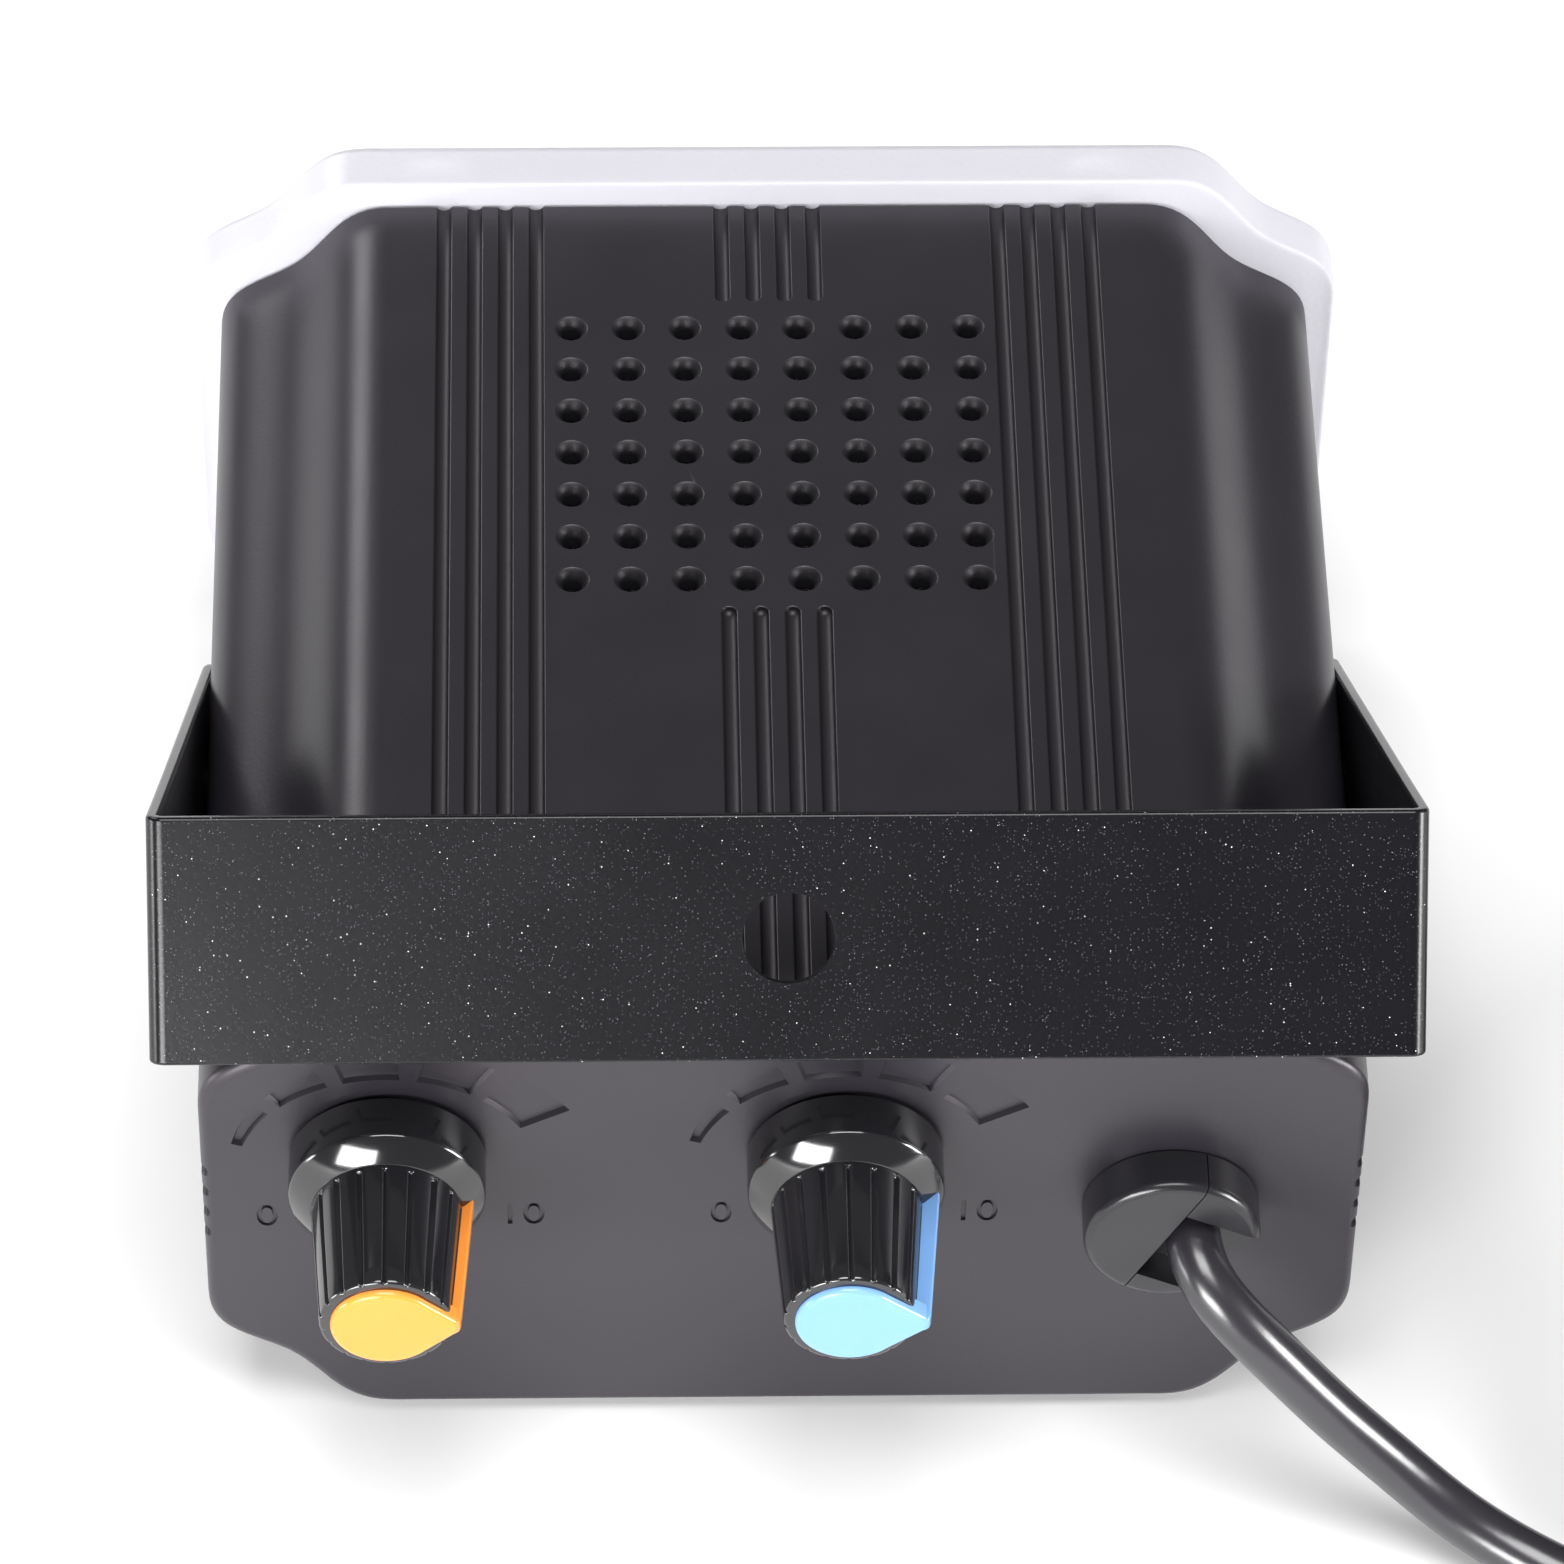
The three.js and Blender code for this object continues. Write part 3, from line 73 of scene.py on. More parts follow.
coil_inner_radius, coil_pitch, coil_lie = 17.8, 4.95, 2.95
coil_loops, coil_extra, coil_entry = 7, 60 / 360, np.radians(256)


def coil_points(steps_per_loop):
    """The wound part: a spiral inwards on the table, a climb at its middle, and a spiral outwards on
    top. The radius grows with the distance from the middle turn, and the height is a smooth step."""
    turn = np.arange(round((coil_loops + coil_extra) * steps_per_loop) + 1) / steps_per_loop
    from_middle = turn - coil_loops / 2
    radius = coil_inner_radius + coil_pitch * np.abs(from_middle)
    share = np.clip(from_middle + 0.5, 0.25, 0.75) * 2 - 0.5
    climb = share * share * (3 - 2 * share)
    angle = coil_entry + turn * 2 * np.pi
    level = coil_centre + radius[:, None] * np.stack([np.cos(angle), np.sin(angle)], 1)
    return np.column_stack([level, coil_lie + climb * coil_pitch])


def smooth_path(points, step):
    """Points about `step` apart on the natural cubic spline through the given ones: a cubic in the
    chord length between each two, whose slope and bend agree where they meet."""
    gaps = np.linalg.norm(np.diff(points, axis=0), axis=1)
    at = np.concatenate([[0], np.cumsum(gaps)])
    inner = np.arange(1, len(points) - 1)
    system = np.eye(len(points))
    system[inner, inner - 1] = gaps[:-1]
    system[inner, inner] = 2 * (gaps[:-1] + gaps[1:])
    system[inner, inner + 1] = gaps[1:]
    change = np.zeros_like(points)
    change[1:-1] = 6 * np.diff(np.diff(points, axis=0) / gaps[:, None], axis=0)
    bend = np.linalg.solve(system, change)
    length = np.linspace(0, at[-1], int(at[-1] / step) + 1)
    k = np.clip(np.searchsorted(at, length) - 1, 0, len(points) - 2)
    gap, before, after = gaps[k][:, None], (length - at[k])[:, None], (at[k + 1] - length)[:, None]
    curved = (bend[k] * after ** 3 + bend[k + 1] * before ** 3) / (6 * gap)
    return (curved + (points[k] / gap - bend[k] * gap / 6) * after
            + (points[k + 1] / gap - bend[k + 1] * gap / 6) * before)


def round_tube(path, radius, sides):
    """Rings round a path: each is its point of the path plus radius times the cosine of the angle
    across the path and its sine above it."""
    along = np.gradient(path, axis=0)
    across = np.cross(along, [0, 0, 1])
    across /= np.linalg.norm(across, axis=1)[:, None]
    above = np.cross(across, along)
    above /= np.linalg.norm(above, axis=1)[:, None]
    angle = np.linspace(0, 2 * np.pi, sides, endpoint=False)[None, :, None]
    return path[:, None] + radius * (np.cos(angle) * across[:, None] + np.sin(angle) * above[:, None])


def shell(rings):
    """Points and faces of a skin over rings, closed round each ring and with a face at both ends.
    Point j of ring i has the number i * count + j."""
    count = rings.shape[1]
    i, j = np.indices((len(rings) - 1, count))
    beside = (j + 1) % count
    quads = np.stack([i * count + j, i * count + beside, (i + 1) * count + beside, (i + 1) * count + j], -1)
    last = (len(rings) - 1) * count
    ends = [list(range(count))[::-1], list(range(last, last + count))]
    return rings.reshape(-1, 3), quads.reshape(-1, 4).tolist() + ends


def solid(name, *shells, sharp=35):
    """An object from one or more closed shells in millimetres, doubles merged, faces turned outwards,
    and its shading broken at edges sharper than the given angle."""
    mesh = bpy.data.meshes.new(name)
    whole = bmesh.new()
    for points, faces in shells:
        part = bpy.data.meshes.new("part")
        part.from_pydata((points / 1000).tolist(), [], faces)
        whole.from_mesh(part)
        bpy.data.meshes.remove(part)
    bmesh.ops.remove_doubles(whole, verts=whole.verts, dist=2e-6)
    bmesh.ops.recalc_face_normals(whole, faces=whole.faces)
    whole.to_mesh(mesh)
    whole.free()
    mesh.shade_smooth()
    mesh.set_sharp_from_angle(angle=np.radians(sharp))
    piece = bpy.data.objects.new(name, mesh)
    bpy.context.collection.objects.link(piece)
    return piece


def dress(piece, material, body):
    """Gives a new piece its finish, its even shading and its body."""
    piece.data.materials.clear()
    piece.data.materials.append(material)
    piece.modifiers.new("even shading", "WEIGHTED_NORMAL").keep_sharp = True
    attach(piece, body)


def finish(name, colour, roughness, grain=0.0, grain_size=0.4, mottle=0.08, shine=0.08, **sockets):
    """A material on object coordinates. `grain` is the depth in millimetres of a fine noise of
    `grain_size` millimetres; `mottle` is how far the colour wanders, `shine` how far the roughness
    does, both with a slow noise of 9 mm. Further names are sockets of the shader."""
    material = bpy.data.materials.new(name)
    material.use_nodes = True
    nodes, links = material.node_tree.nodes, material.node_tree.links
    shader = nodes["Principled BSDF"]
    for socket, value in sockets.items():
        shader.inputs[socket.replace("_", " ")].default_value = value
    place = nodes.new("ShaderNodeTexCoord").outputs["Object"]

    def noise(size, detail):
        texture = nodes.new("ShaderNodeTexNoise")
        texture.inputs["Scale"].default_value = 1000 / size
        texture.inputs["Detail"].default_value = detail
        links.new(place, texture.inputs["Vector"])
        return texture.outputs["Fac"]

    slow = noise(size=9, detail=3)
    tint = nodes.new("ShaderNodeMix")
    tint.data_type = "RGBA"
    tint.inputs["A"].default_value = (*(c * (1 - mottle) for c in colour), 1)
    tint.inputs["B"].default_value = (*(min(1, c * (1 + mottle)) for c in colour), 1)
    links.new(slow, tint.inputs["Factor"])
    links.new(tint.outputs["Result"], shader.inputs["Base Color"])
    polish = nodes.new("ShaderNodeMapRange")
    polish.inputs["To Min"].default_value = roughness * (1 - shine)
    polish.inputs["To Max"].default_value = roughness * (1 + shine)
    links.new(slow, polish.inputs["Value"])
    links.new(polish.outputs["Result"], shader.inputs["Roughness"])
    if grain:
        bump = nodes.new("ShaderNodeBump")
        bump.inputs["Distance"].default_value = grain / 1000
        bump.inputs["Strength"].default_value = 1
        links.new(noise(grain_size, detail=2), bump.inputs["Height"])
        links.new(bump.outputs["Normal"], shader.inputs["Normal"])
    return material


cord_points = np.vstack([cord_from_relief, coil_points(steps_per_loop=24), cord_to_plug])
cord_path = smooth_path(cord_points, step=1.2) + cord_shift
cord = solid("supply_cord", shell(round_tube(cord_path, cord_radius, sides=24)))
cord_jacket = finish("cord_jacket", (0.022, 0.02, 0.025), 0.26, grain=0.006, grain_size=0.7, IOR=1.75)
dress(cord, cord_jacket, "housing")
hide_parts("power_cord", "cord_coil")


# Plug and its pins
# A mains plug of black plastic moulded on the cord's end, with a flexible ribbed sleeve and two round
# nickel-plated pins. It lies beside the coil.
plug_place = np.array([152, -24 + cord_shift[1], 6.2])
plug_width, plug_height, plug_corner, plug_edge = 26, 12, 4, 1
sleeve_length, shoulder_length, plug_length = 13, 10, 25
sleeve_tip, sleeve_foot, sleeve_ribs, sleeve_rib_depth = 3, 3.7, 7, 0.28
pin_radius, pin_length, pin_root, pin_spacing = 2, 19, 6, 19


def rounded_rings(half_width, half_height, corner, along, steps=10):
    """Rounded rectangles across Y, one for each place along it. Each corner is a quarter circle about
    its own centre, which lies `corner` inside both half sizes."""
    turn = np.linspace(0, np.pi / 2, steps + 1)
    angle = np.concatenate([turn + quarter * np.pi / 2 for quarter in range(4)])
    middle = np.repeat(np.arange(4) * np.pi / 2 + np.pi / 4, steps + 1)
    half_width, half_height, corner, along = np.broadcast_arrays(half_width, half_height, corner, along)
    x = (half_width - corner)[:, None] * np.sign(np.cos(middle)) + corner[:, None] * np.cos(angle)
    z = (half_height - corner)[:, None] * np.sign(np.sin(middle)) + corner[:, None] * np.sin(angle)
    return np.stack([x, np.repeat(along[:, None], x.shape[1], 1), z], -1)


def turned(profile, sides, axis="y"):
    """A profile of [radius, place] pairs carried round an axis. Rings of radius nought close it."""
    radius, place = np.array(profile, float).T
    angle = np.linspace(0, 2 * np.pi, sides, endpoint=False)
    across, above = radius[:, None] * np.cos(angle), radius[:, None] * np.sin(angle)
    level = np.repeat(place[:, None], sides, 1)
    order = {"x": [level, across, above], "y": [across, level, above], "z": [across, above, level]}
    return np.stack(order[axis], -1)


def plug_rings():
    """The sleeve is round with shallow ribs, the lower half of a sine clipped at half its height, and
    the body is flat. Every size follows a smooth step from the sleeve's radius to the body's half width
    and half height over the shoulder, and is less by a quarter round at the end."""
    end = sleeve_length + plug_length
    along = np.concatenate([[0, 0.25], np.linspace(0.5, sleeve_length, 76),
                            np.linspace(sleeve_length + 0.3, sleeve_length + shoulder_length, 24),
                            end - plug_edge * np.array([1, 0.6, 0.3, 0.1, 0])])
    sleeve = np.interp(along, [0, 0.25, 0.5, sleeve_length],
                       [sleeve_tip - 0.2, sleeve_tip - 0.05, sleeve_tip, sleeve_foot])
    ribs = np.clip(2 * np.sin(along / sleeve_length * sleeve_ribs * 2 * np.pi), -1, 0)
    sleeve = sleeve + sleeve_rib_depth * ribs * ((along > 0.5) & (along < sleeve_length))
    share = np.clip((along - sleeve_length) / shoulder_length, 0, 1)
    share = share * share * (3 - 2 * share)
    edge = plug_edge * (1 - np.sqrt(1 - np.clip((along - end) / plug_edge + 1, 0, 1) ** 2))
    half_width = sleeve + (plug_width / 2 - sleeve) * share - edge
    half_height = sleeve + (plug_height / 2 - sleeve) * share - edge
    corner = sleeve + (plug_corner - sleeve) * share - edge
    return rounded_rings(half_width, half_height, corner * 0.999, along)


plug = solid("mains_plug", shell(plug_rings() + plug_place))
dress(plug, finish("plug_plastic", (0.022, 0.022, 0.024), 0.38, grain=0.01, grain_size=0.5),
      "housing")
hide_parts("plug_body")
pin_end = sleeve_length + plug_length + pin_length
pin_profile = [[0, pin_end - pin_length - pin_root], [pin_radius, pin_end - pin_length - pin_root],
               [pin_radius, pin_end - 1.2], [pin_radius * 0.94, pin_end - 0.8],
               [pin_radius * 0.78, pin_end - 0.35], [pin_radius * 0.5, pin_end - 0.08], [0, pin_end]]
pin_nickel = finish("pin_nickel", (0.62, 0.6, 0.56), 0.2, mottle=0.05, Metallic=1)
for side, name in [(-1, "left"), (1, "right")]:
    place = plug_place + [side * pin_spacing / 2, 0, 0]
    pin = solid(f"mains_pin_{name}", shell(turned(pin_profile, 32) + place))
    dress(pin, pin_nickel, "housing")
    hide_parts(f"plug_pin_{name}")


# Coil tie
# A flat band of soft black plastic, bent round the whole bundle, that holds the coil's turns together.
tie_angle, tie_width, tie_thickness = np.radians(200), 5, 0.4
tie_slack, tie_corner, tie_edge, tie_squareness = 0.3, 2.2, 0.15, 9


def tie_rings():
    """A rounded strip section carried round a rounded rectangle that stands across the coil. Its
    thickness points outwards: along the place's shares of both half sizes, each to a high power."""
    turns = np.arange(coil_loops + 1) + (tie_angle - coil_entry) % (2 * np.pi) / (2 * np.pi)
    radii = coil_inner_radius + coil_pitch * np.abs(turns[turns < coil_loops] - coil_loops / 2)
    room = cord_radius + tie_slack + tie_thickness / 2
    half_long = (radii.max() - radii.min()) / 2 + room
    half_high = coil_pitch / 2 + room
    path = rounded_rings([half_long], [half_high], [tie_corner], [0], steps=8)[0]
    outward = path / [half_long, 1, half_high]
    outward = np.sign(outward) * np.abs(outward) ** tie_squareness
    outward /= np.linalg.norm(outward, axis=1)[:, None]
    strip = rounded_rings([tie_width / 2], [tie_thickness / 2], [tie_edge], [0], steps=3)[0]
    rings = (path[:, None] + strip[None, :, 0, None] * [0, 1, 0]
             + strip[None, :, 2, None] * outward[:, None])
    middle = (radii.max() + radii.min()) / 2
    x, y, z = rings[..., 0] + middle, rings[..., 1], rings[..., 2] + coil_lie + coil_pitch / 2
    turn_x, turn_y = np.cos(tie_angle), np.sin(tie_angle)
    place = np.stack([x * turn_x - y * turn_y + coil_centre[0],
                      x * turn_y + y * turn_x + coil_centre[1], z], -1)
    return np.concatenate([place, place[:1]]) + cord_shift


tie_points, tie_faces = shell(tie_rings())
tie = solid("coil_band", (tie_points, tie_faces[:-2]))
dress(tie, finish("tie_plastic", (0.03, 0.03, 0.032), 0.45, grain=0.01, grain_size=0.6),
      "housing")
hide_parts("coil_tie")


# Housing
# One injection-moulded shell of black ABS, open in front. Its four long corners are ogees; grooves run
# along the top and the sides, vents are moulded through the top, and the dials are sunk in the panel.
light_shift = np.array([0, cord_shift[1], 2.4])  # the same, and up by the height of the feet
half_width, height, half_depth = 45, 50, 42
wall, panel_wall = 2, 2.5
ogee_size = 14
ogee_shares = np.array([[0, 0], [0.32, 0], [0.37, 0.34], [0.61, 0.5], [0.81, 0.64], [1, 0.67], [1, 1]])
rear_round, rear_sag = 0.8, 0.9
groove_pitch, groove_half, groove_depth, groove_lip = 2.5, 0.58, 0.55, 0.14
groove_group = 22.6
front_grooves, rear_grooves, groove_overrun = 11, 39.5, 3
vent_counts, vent_pitch, vent_field = (8, 7), 4.58, 14.25
vent_radius, vent_mouth, vent_depth = 0.72, 1.4, 1.05
knob_places, knob_height, bush_hole = {"left": -30.55, "right": 4.75}, 30.8, 3.65
dial_drop, dial_radius, dial_depth, dial_slope = 2.6, 11.8, 0.4, 0.19
dial_sectors, dial_start, dial_pitch, dial_span, dial_widths = 5, 161, 27.5, 21.5, (0.9, 4.4)
digit_places, digit_z, digit_height, digit_depth = {"0": -9.5, "10": 10.3}, 23.3, 2.7, 0.22
pivot_y, pad_radius, pad_depth, pad_edge = 1.5, 11, 0.8, 0.15
relief_place, relief_hole = np.array([30.2, 0, 24]), 5.8
screw_places = [(-27, 4.6), (27, 4.6), (-27, 45.4), (27, 45.4)]
post_places = [(-29.8, -32.3), (-29.8, 18.3), (29.8, -32.3), (29.8, 18.3)]
post_radius, post_top, boss_radius, boss_back, boss_front = 3, 7.5, 2.9, 34, 38.35
pilot_radius, pilot_floor, pivot_boss_radius, pivot_boss_length = 1.6, 2.2, 6.4, 6.5
rail_reach, rail_y, rail_z = 6, (27.65, 31.15), (14, 36)
hollow_skin, hollow_floor, hollow_rear, hollow_half = 0.05, 1.2, 0.8, 28.5
# The hollows' colour is painted shade, darker where shade falls in the grooves and vents; their roughness
# is the moulding's own.
hollow_roughness, hollow_painted_shade = 0.5, (0.009, 0.0085, 0.0105, 1)


def bezier(a, b, c, d, steps):
    """Points of the cubic Bezier curve through a and d with the handles b and c."""
    t = np.linspace(0, 1, steps + 1)[:, None]
    return a * (1 - t) ** 3 + 3 * b * t * (1 - t) ** 2 + 3 * c * t ** 2 * (1 - t) + d * t ** 3


ogee = np.vstack([bezier(*ogee_shares[:4], 14), bezier(*ogee_shares[3:], 14)[1:]])


def ogee_ring(grow, y, sag=0):
    """The housing's section, grown by `grow` on every side: four ogee corners in shares of their size,
    each moved out along its own diagonal, joined by straight sides. The lower two lie lower by `sag`."""
    x = half_width + grow - ogee_size + ogee[:, 0] * ogee_size
    low, high = ogee[:, 1] * ogee_size - grow - sag, height + grow - ogee[:, 1] * ogee_size
    ring_x = np.concatenate([x, x[::-1], -x, -x[::-1]])
    ring_z = np.concatenate([low, high[::-1], high, low[::-1]])
    return np.stack([ring_x, np.full_like(ring_x, y), ring_z], -1)


def carve(piece, *tools, how="DIFFERENCE"):
    """Takes the tools from the piece, joins them to it or keeps what they share, and removes them."""
    for tool in tools:
        step = piece.modifiers.new("carve", "BOOLEAN")
        step.object, step.operation, step.solver = tool, how, "MANIFOLD"
    shape = piece.evaluated_get(bpy.context.evaluated_depsgraph_get())
    mesh = bpy.data.meshes.new_from_object(shape)
    piece.modifiers.clear()
    old, piece.data = piece.data, mesh
    bpy.data.meshes.remove(old)
    for tool in tools:
        bpy.data.meshes.remove(tool.data)
    mesh.shade_smooth()
    mesh.set_sharp_from_angle(angle=np.radians(35))


def dish(half, depth, lip, steps=5):
    """Profile of a hollow in a face at height nought, as [half width, height] pairs: an elliptic
    floor and wall, then a quarter-round lip that runs out flush with the face."""
    floor = np.linspace(0, np.pi / 2, steps + 1)
    edge = floor[1:]
    return np.concatenate([
        np.stack([half * np.sin(floor), -lip - (depth - lip) * np.cos(floor)], 1),
        np.stack([half + lip - lip * np.cos(edge), -lip + lip * np.sin(edge)], 1),
        [[half + lip + 0.03, 0.03], [half + lip + 0.03, 1]]])


def channel(profile, length):
    """A hollow of that profile carried along a straight line with half-round ends: each level is a
    stadium, the half width of its level round the line."""
    sides = 24
    angle = np.linspace(0, 2 * np.pi, sides, endpoint=False) + np.pi / sides
    end = np.sign(np.sin(angle)) * length / 2
    x = profile[:, :1] * np.cos(angle)
    y = profile[:, :1] * np.sin(angle) + end
    return np.stack([x, y, np.repeat(profile[:, 1:], sides, 1)], -1)


def housing_grooves():
    """Four grooves in each group; the outer groups run the whole length, the middle one leaves room
    for the vents. Those of the sides are the same channels turned a quarter."""
    profile = dish(groove_half, groove_depth, groove_lip)
    end = half_depth + groove_overrun
    front_length = front_grooves + groove_overrun - groove_half
    rear_length = rear_grooves + groove_overrun - groove_half
    long, front, rear = (channel(profile, length) for length in (2 * end, front_length, rear_length))
    shells = []
    for offset in (np.arange(4) - 1.5) * groove_pitch:
        for x, rings, y in [(-groove_group, long, 0), (groove_group, long, 0),
                            (0, front, end - front_length / 2), (0, rear, rear_length / 2 - end)]:
            shells.append(shell(rings + [x + offset, y, height]))
        for side in (-1, 1):
            shells.append(shell(rings_to_side(long, side) + [side * half_width, 0, height / 2 + offset]))
    return shells


def rings_to_side(rings, side):
    """The same rings with their height pointing out of the left or right side."""
    x, y, z = np.moveaxis(rings, -1, 0)
    return np.stack([side * z, y, x], -1)


def housing_vents():
    """Fifty-six round holes on a square pitch, each a cup from the wide mouth to the narrow hole. Over
    a share s from bottom to top its radius grows with s ** 1.3 and its depth falls with (1 - s) ** 1.3."""
    share = np.linspace(0, 1, 9)
    cup = np.stack([vent_radius + (vent_mouth - vent_radius) * share ** 1.3,
                    -vent_depth * (1 - share) ** 1.3], 1)
    profile = [[0, -wall - 1], [vent_radius, -wall - 1], *cup, [vent_mouth + 0.03, 0.03],
               [vent_mouth + 0.03, 1], [0, 1]]
    rings = turned(profile, 28, "z")
    across, along = (np.arange(count) - (count - 1) / 2 for count in vent_counts)
    return [shell(rings + [x * vent_pitch, vent_field + y * vent_pitch, height])
            for x in across for y in along]


def dial_sector(knob_x, index):
    """One sunk sector: its inner edge is an arc, its outer edge lies a width further out that grows
    clockwise with the angle, and its walls slope by moving every edge in towards the floor."""
    start = dial_start - index * dial_pitch
    last = dial_start - (dial_sectors - 1) * dial_pitch - dial_span
    rings = []
    for inset, y in [(dial_slope, dial_depth), (0, 0), (-1, -1)]:
        trim = np.degrees(inset / dial_radius)
        angle = np.linspace(start - trim, start - dial_span + trim, 9)
        width = np.interp(-angle, [-dial_start, -last], dial_widths)
        radius = np.concatenate([np.full_like(angle, dial_radius + inset),
                                 (dial_radius + width - inset)[::-1]])
        turn = np.radians(np.concatenate([angle, angle[::-1]]))
        rings.append(np.stack([knob_x + radius * np.cos(turn), np.full_like(turn, y - half_depth),
                               knob_height - dial_drop + radius * np.sin(turn)], -1))
    return shell(np.array(rings))


def sunk_number(text, x):
    """A number standing on the panel at its end of the dial, as a solid to be sunk in it. A digit is as
    high as 0.73 of the font's size."""
    curve = bpy.data.curves.new("number", "FONT")
    curve.body, curve.size, curve.extrude = text, digit_height / 730, digit_depth / 1000
    curve.align_x, curve.align_y, curve.resolution_u = "CENTER", "CENTER", 6
    flat = bpy.data.objects.new("number", curve)
    bpy.context.collection.objects.link(flat)
    number = bpy.data.objects.new("number", bpy.data.meshes.new_from_object(flat))
    bpy.data.objects.remove(flat)
    place = Matrix.Translation(Vector((x, -half_depth, digit_z)) / 1000)
    number.data.transform(place @ Matrix.Rotation(np.pi / 2, 4, "X"))
    joined = bmesh.new()
    joined.from_mesh(number.data)
    bmesh.ops.remove_doubles(joined, verts=joined.verts, dist=1e-7)
    bmesh.ops.recalc_face_normals(joined, faces=joined.faces)
    joined.to_mesh(number.data)
    joined.free()
    bpy.context.collection.objects.link(number)
    return number


def box(x0, x1, y0, y1, z0, z1):
    """A block between two corners, as its two ends across Y with hardly rounded corners."""
    middle = np.array([(x0 + x1) / 2, 0, (z0 + z1) / 2])
    return shell(rounded_rings([(x1 - x0) / 2], [(z1 - z0) / 2], [1e-4], [y0, y1], steps=1) + middle)


turn = np.linspace(0, np.pi / 2, 7)
housing_profile = [(-rear_round * (1 - np.sin(a)), -half_depth + rear_round * (1 - np.cos(a)))
                   for a in turn]
housing_profile += [(0, half_depth - 0.3), (-0.09, half_depth - 0.09), (-0.3, half_depth),
                    (-wall, half_depth), (-wall, panel_wall - half_depth)]
housing_rings = np.array([ogee_ring(grow, y, rear_sag * (0.5 - y / half_depth / 2))
                          for grow, y in housing_profile])
housing = solid("moulded_housing", shell(housing_rings))
inside = half_width - wall
post = turned([[0, 0.4], [post_radius, 0.4], [post_radius, post_top], [pilot_radius, post_top],
               [pilot_radius, pilot_floor], [0, pilot_floor]], 24, "z")
screw_boss = turned([[0, boss_back], [boss_radius, boss_back], [boss_radius, boss_front],
                     [pilot_radius, boss_front], [pilot_radius, boss_back + 0.4],
                     [0, boss_back + 0.4]], 24)
pivot_boss = turned([[0, pivot_boss_length], [pivot_boss_radius, pivot_boss_length],
                     [pivot_boss_radius, -1], [0, -1]], 32, "x")
fittings = [shell(post + [x, y, 0]) for x, y in post_places]
fittings += [shell(screw_boss + [x, 0, z]) for x, z in sorted(screw_places)]
for side in (-1, 1):
    fittings.append(shell(pivot_boss * [-side, 1, 1] + [side * inside, pivot_y, height / 2]))
    rail_x = sorted([side * (inside - rail_reach), side * (inside + 1)])
    fittings.append(box(*rail_x, *rail_y, *rail_z))
carve(housing, *[solid("fitting", fitting) for fitting in fittings], how="UNION")
cuts = housing_grooves() + housing_vents()
for x in knob_places.values():
    cuts += [dial_sector(x, index) for index in range(dial_sectors)]
    hole = turned([[0, -1], [bush_hole, -1], [bush_hole, 4], [0, 4]], 48)
    cuts.append(shell(hole + [x, -half_depth, knob_height]))
hole = turned([[0, -1], [relief_hole, -1], [relief_hole, 4], [0, 4]], 64)
cuts.append(shell(hole + relief_place - [0, half_depth, 0]))
carve(housing, solid("cuts", *cuts))
pad = turned([[0, -pad_depth], [pad_radius - pad_edge, -pad_depth], [pad_radius, pad_edge - pad_depth],
              [pad_radius, 1], [0, 1]], 96, "x")
pads = [shell(pad * [side, 1, 1] + [side * half_width, pivot_y, height / 2]) for side in (-1, 1)]
numbers = [sunk_number(text, x + shift) for x in knob_places.values()
           for text, shift in digit_places.items()]
carve(housing, solid("pads", *pads), *numbers)
housing.data.transform(Matrix.Translation(Vector(light_shift) / 1000))


def math_node(material, operation, *values):
    """A math node of that operation on sockets or plain numbers. Gives its output."""
    node = material.node_tree.nodes.new("ShaderNodeMath")
    node.operation = operation
    for socket, value in zip(node.inputs, values):
        if isinstance(value, bpy.types.NodeSocket):
            material.node_tree.links.new(value, socket)
        else:
            socket.default_value = value
    return node.outputs[0]


def overlay(material, name, mask, value):
    """Where the mask is 1, a socket of the shader gets this value in place of what it had."""
    nodes, links = material.node_tree.nodes, material.node_tree.links
    socket = nodes["Principled BSDF"].inputs[name]
    mix = nodes.new("ShaderNodeMix")
    mix.data_type = "RGBA" if socket.type == "RGBA" else "FLOAT"
    mix.inputs["B"].default_value = value
    links.new(mask, mix.inputs["Factor"])
    links.new(socket.links[0].from_socket, mix.inputs["A"])
    links.new(mix.outputs["Result"], socket)


def matt_hollows_painted_shade(material):
    """Makes the moulding matt in the grooves and vents of its top, and paints shade into them as a darker
    colour: from just below the face down to the hollows' floor, ahead of the rear edge, within the half
    width that the grooves take up. The mask is the product of these four tests."""
    place = material.node_tree.nodes.new("ShaderNodeSeparateXYZ")
    material.node_tree.links.new(material.node_tree.nodes["Texture Coordinate"].outputs["Object"],
                                 place.inputs[0])
    x, y, z = place.outputs
    top, rear = height + light_shift[2], light_shift[1] - half_depth
    tests = [(z, "LESS_THAN", top - hollow_skin), (z, "GREATER_THAN", top - hollow_floor),
             (y, "GREATER_THAN", rear + hollow_rear),
             (math_node(material, "ABSOLUTE", x), "LESS_THAN", hollow_half)]
    mask = 1.0
    for value, test, limit in tests:
        passed = math_node(material, test, value, limit / 1000)
        mask = math_node(material, "MULTIPLY", mask, passed)
    overlay(material, "Roughness", mask, hollow_roughness)
    # Painted shade: the base colour is darker in the hollows.
    overlay(material, "Base Color", mask, hollow_painted_shade)
    return material


housing_plastic = finish("housing_plastic", (0.0168, 0.0152, 0.0198), 0.38, grain=0.012, grain_size=0.35,
                         shine=0.12, IOR=1.58, Specular_Tint=(1, 0.93, 1, 1))
dress(housing, matt_hollows_painted_shade(housing_plastic), "housing")
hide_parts("housing")


# Feet
# Four soft black rubber discs with a rounded lower edge, glued under the corners.
foot_height, foot_radius, foot_tread, foot_round, foot_gap = 2.4, 4, 3.7, 0.7, 0.15
foot_places = [(-26, -34), (26, -34), (-26, 34), (26, 34)]


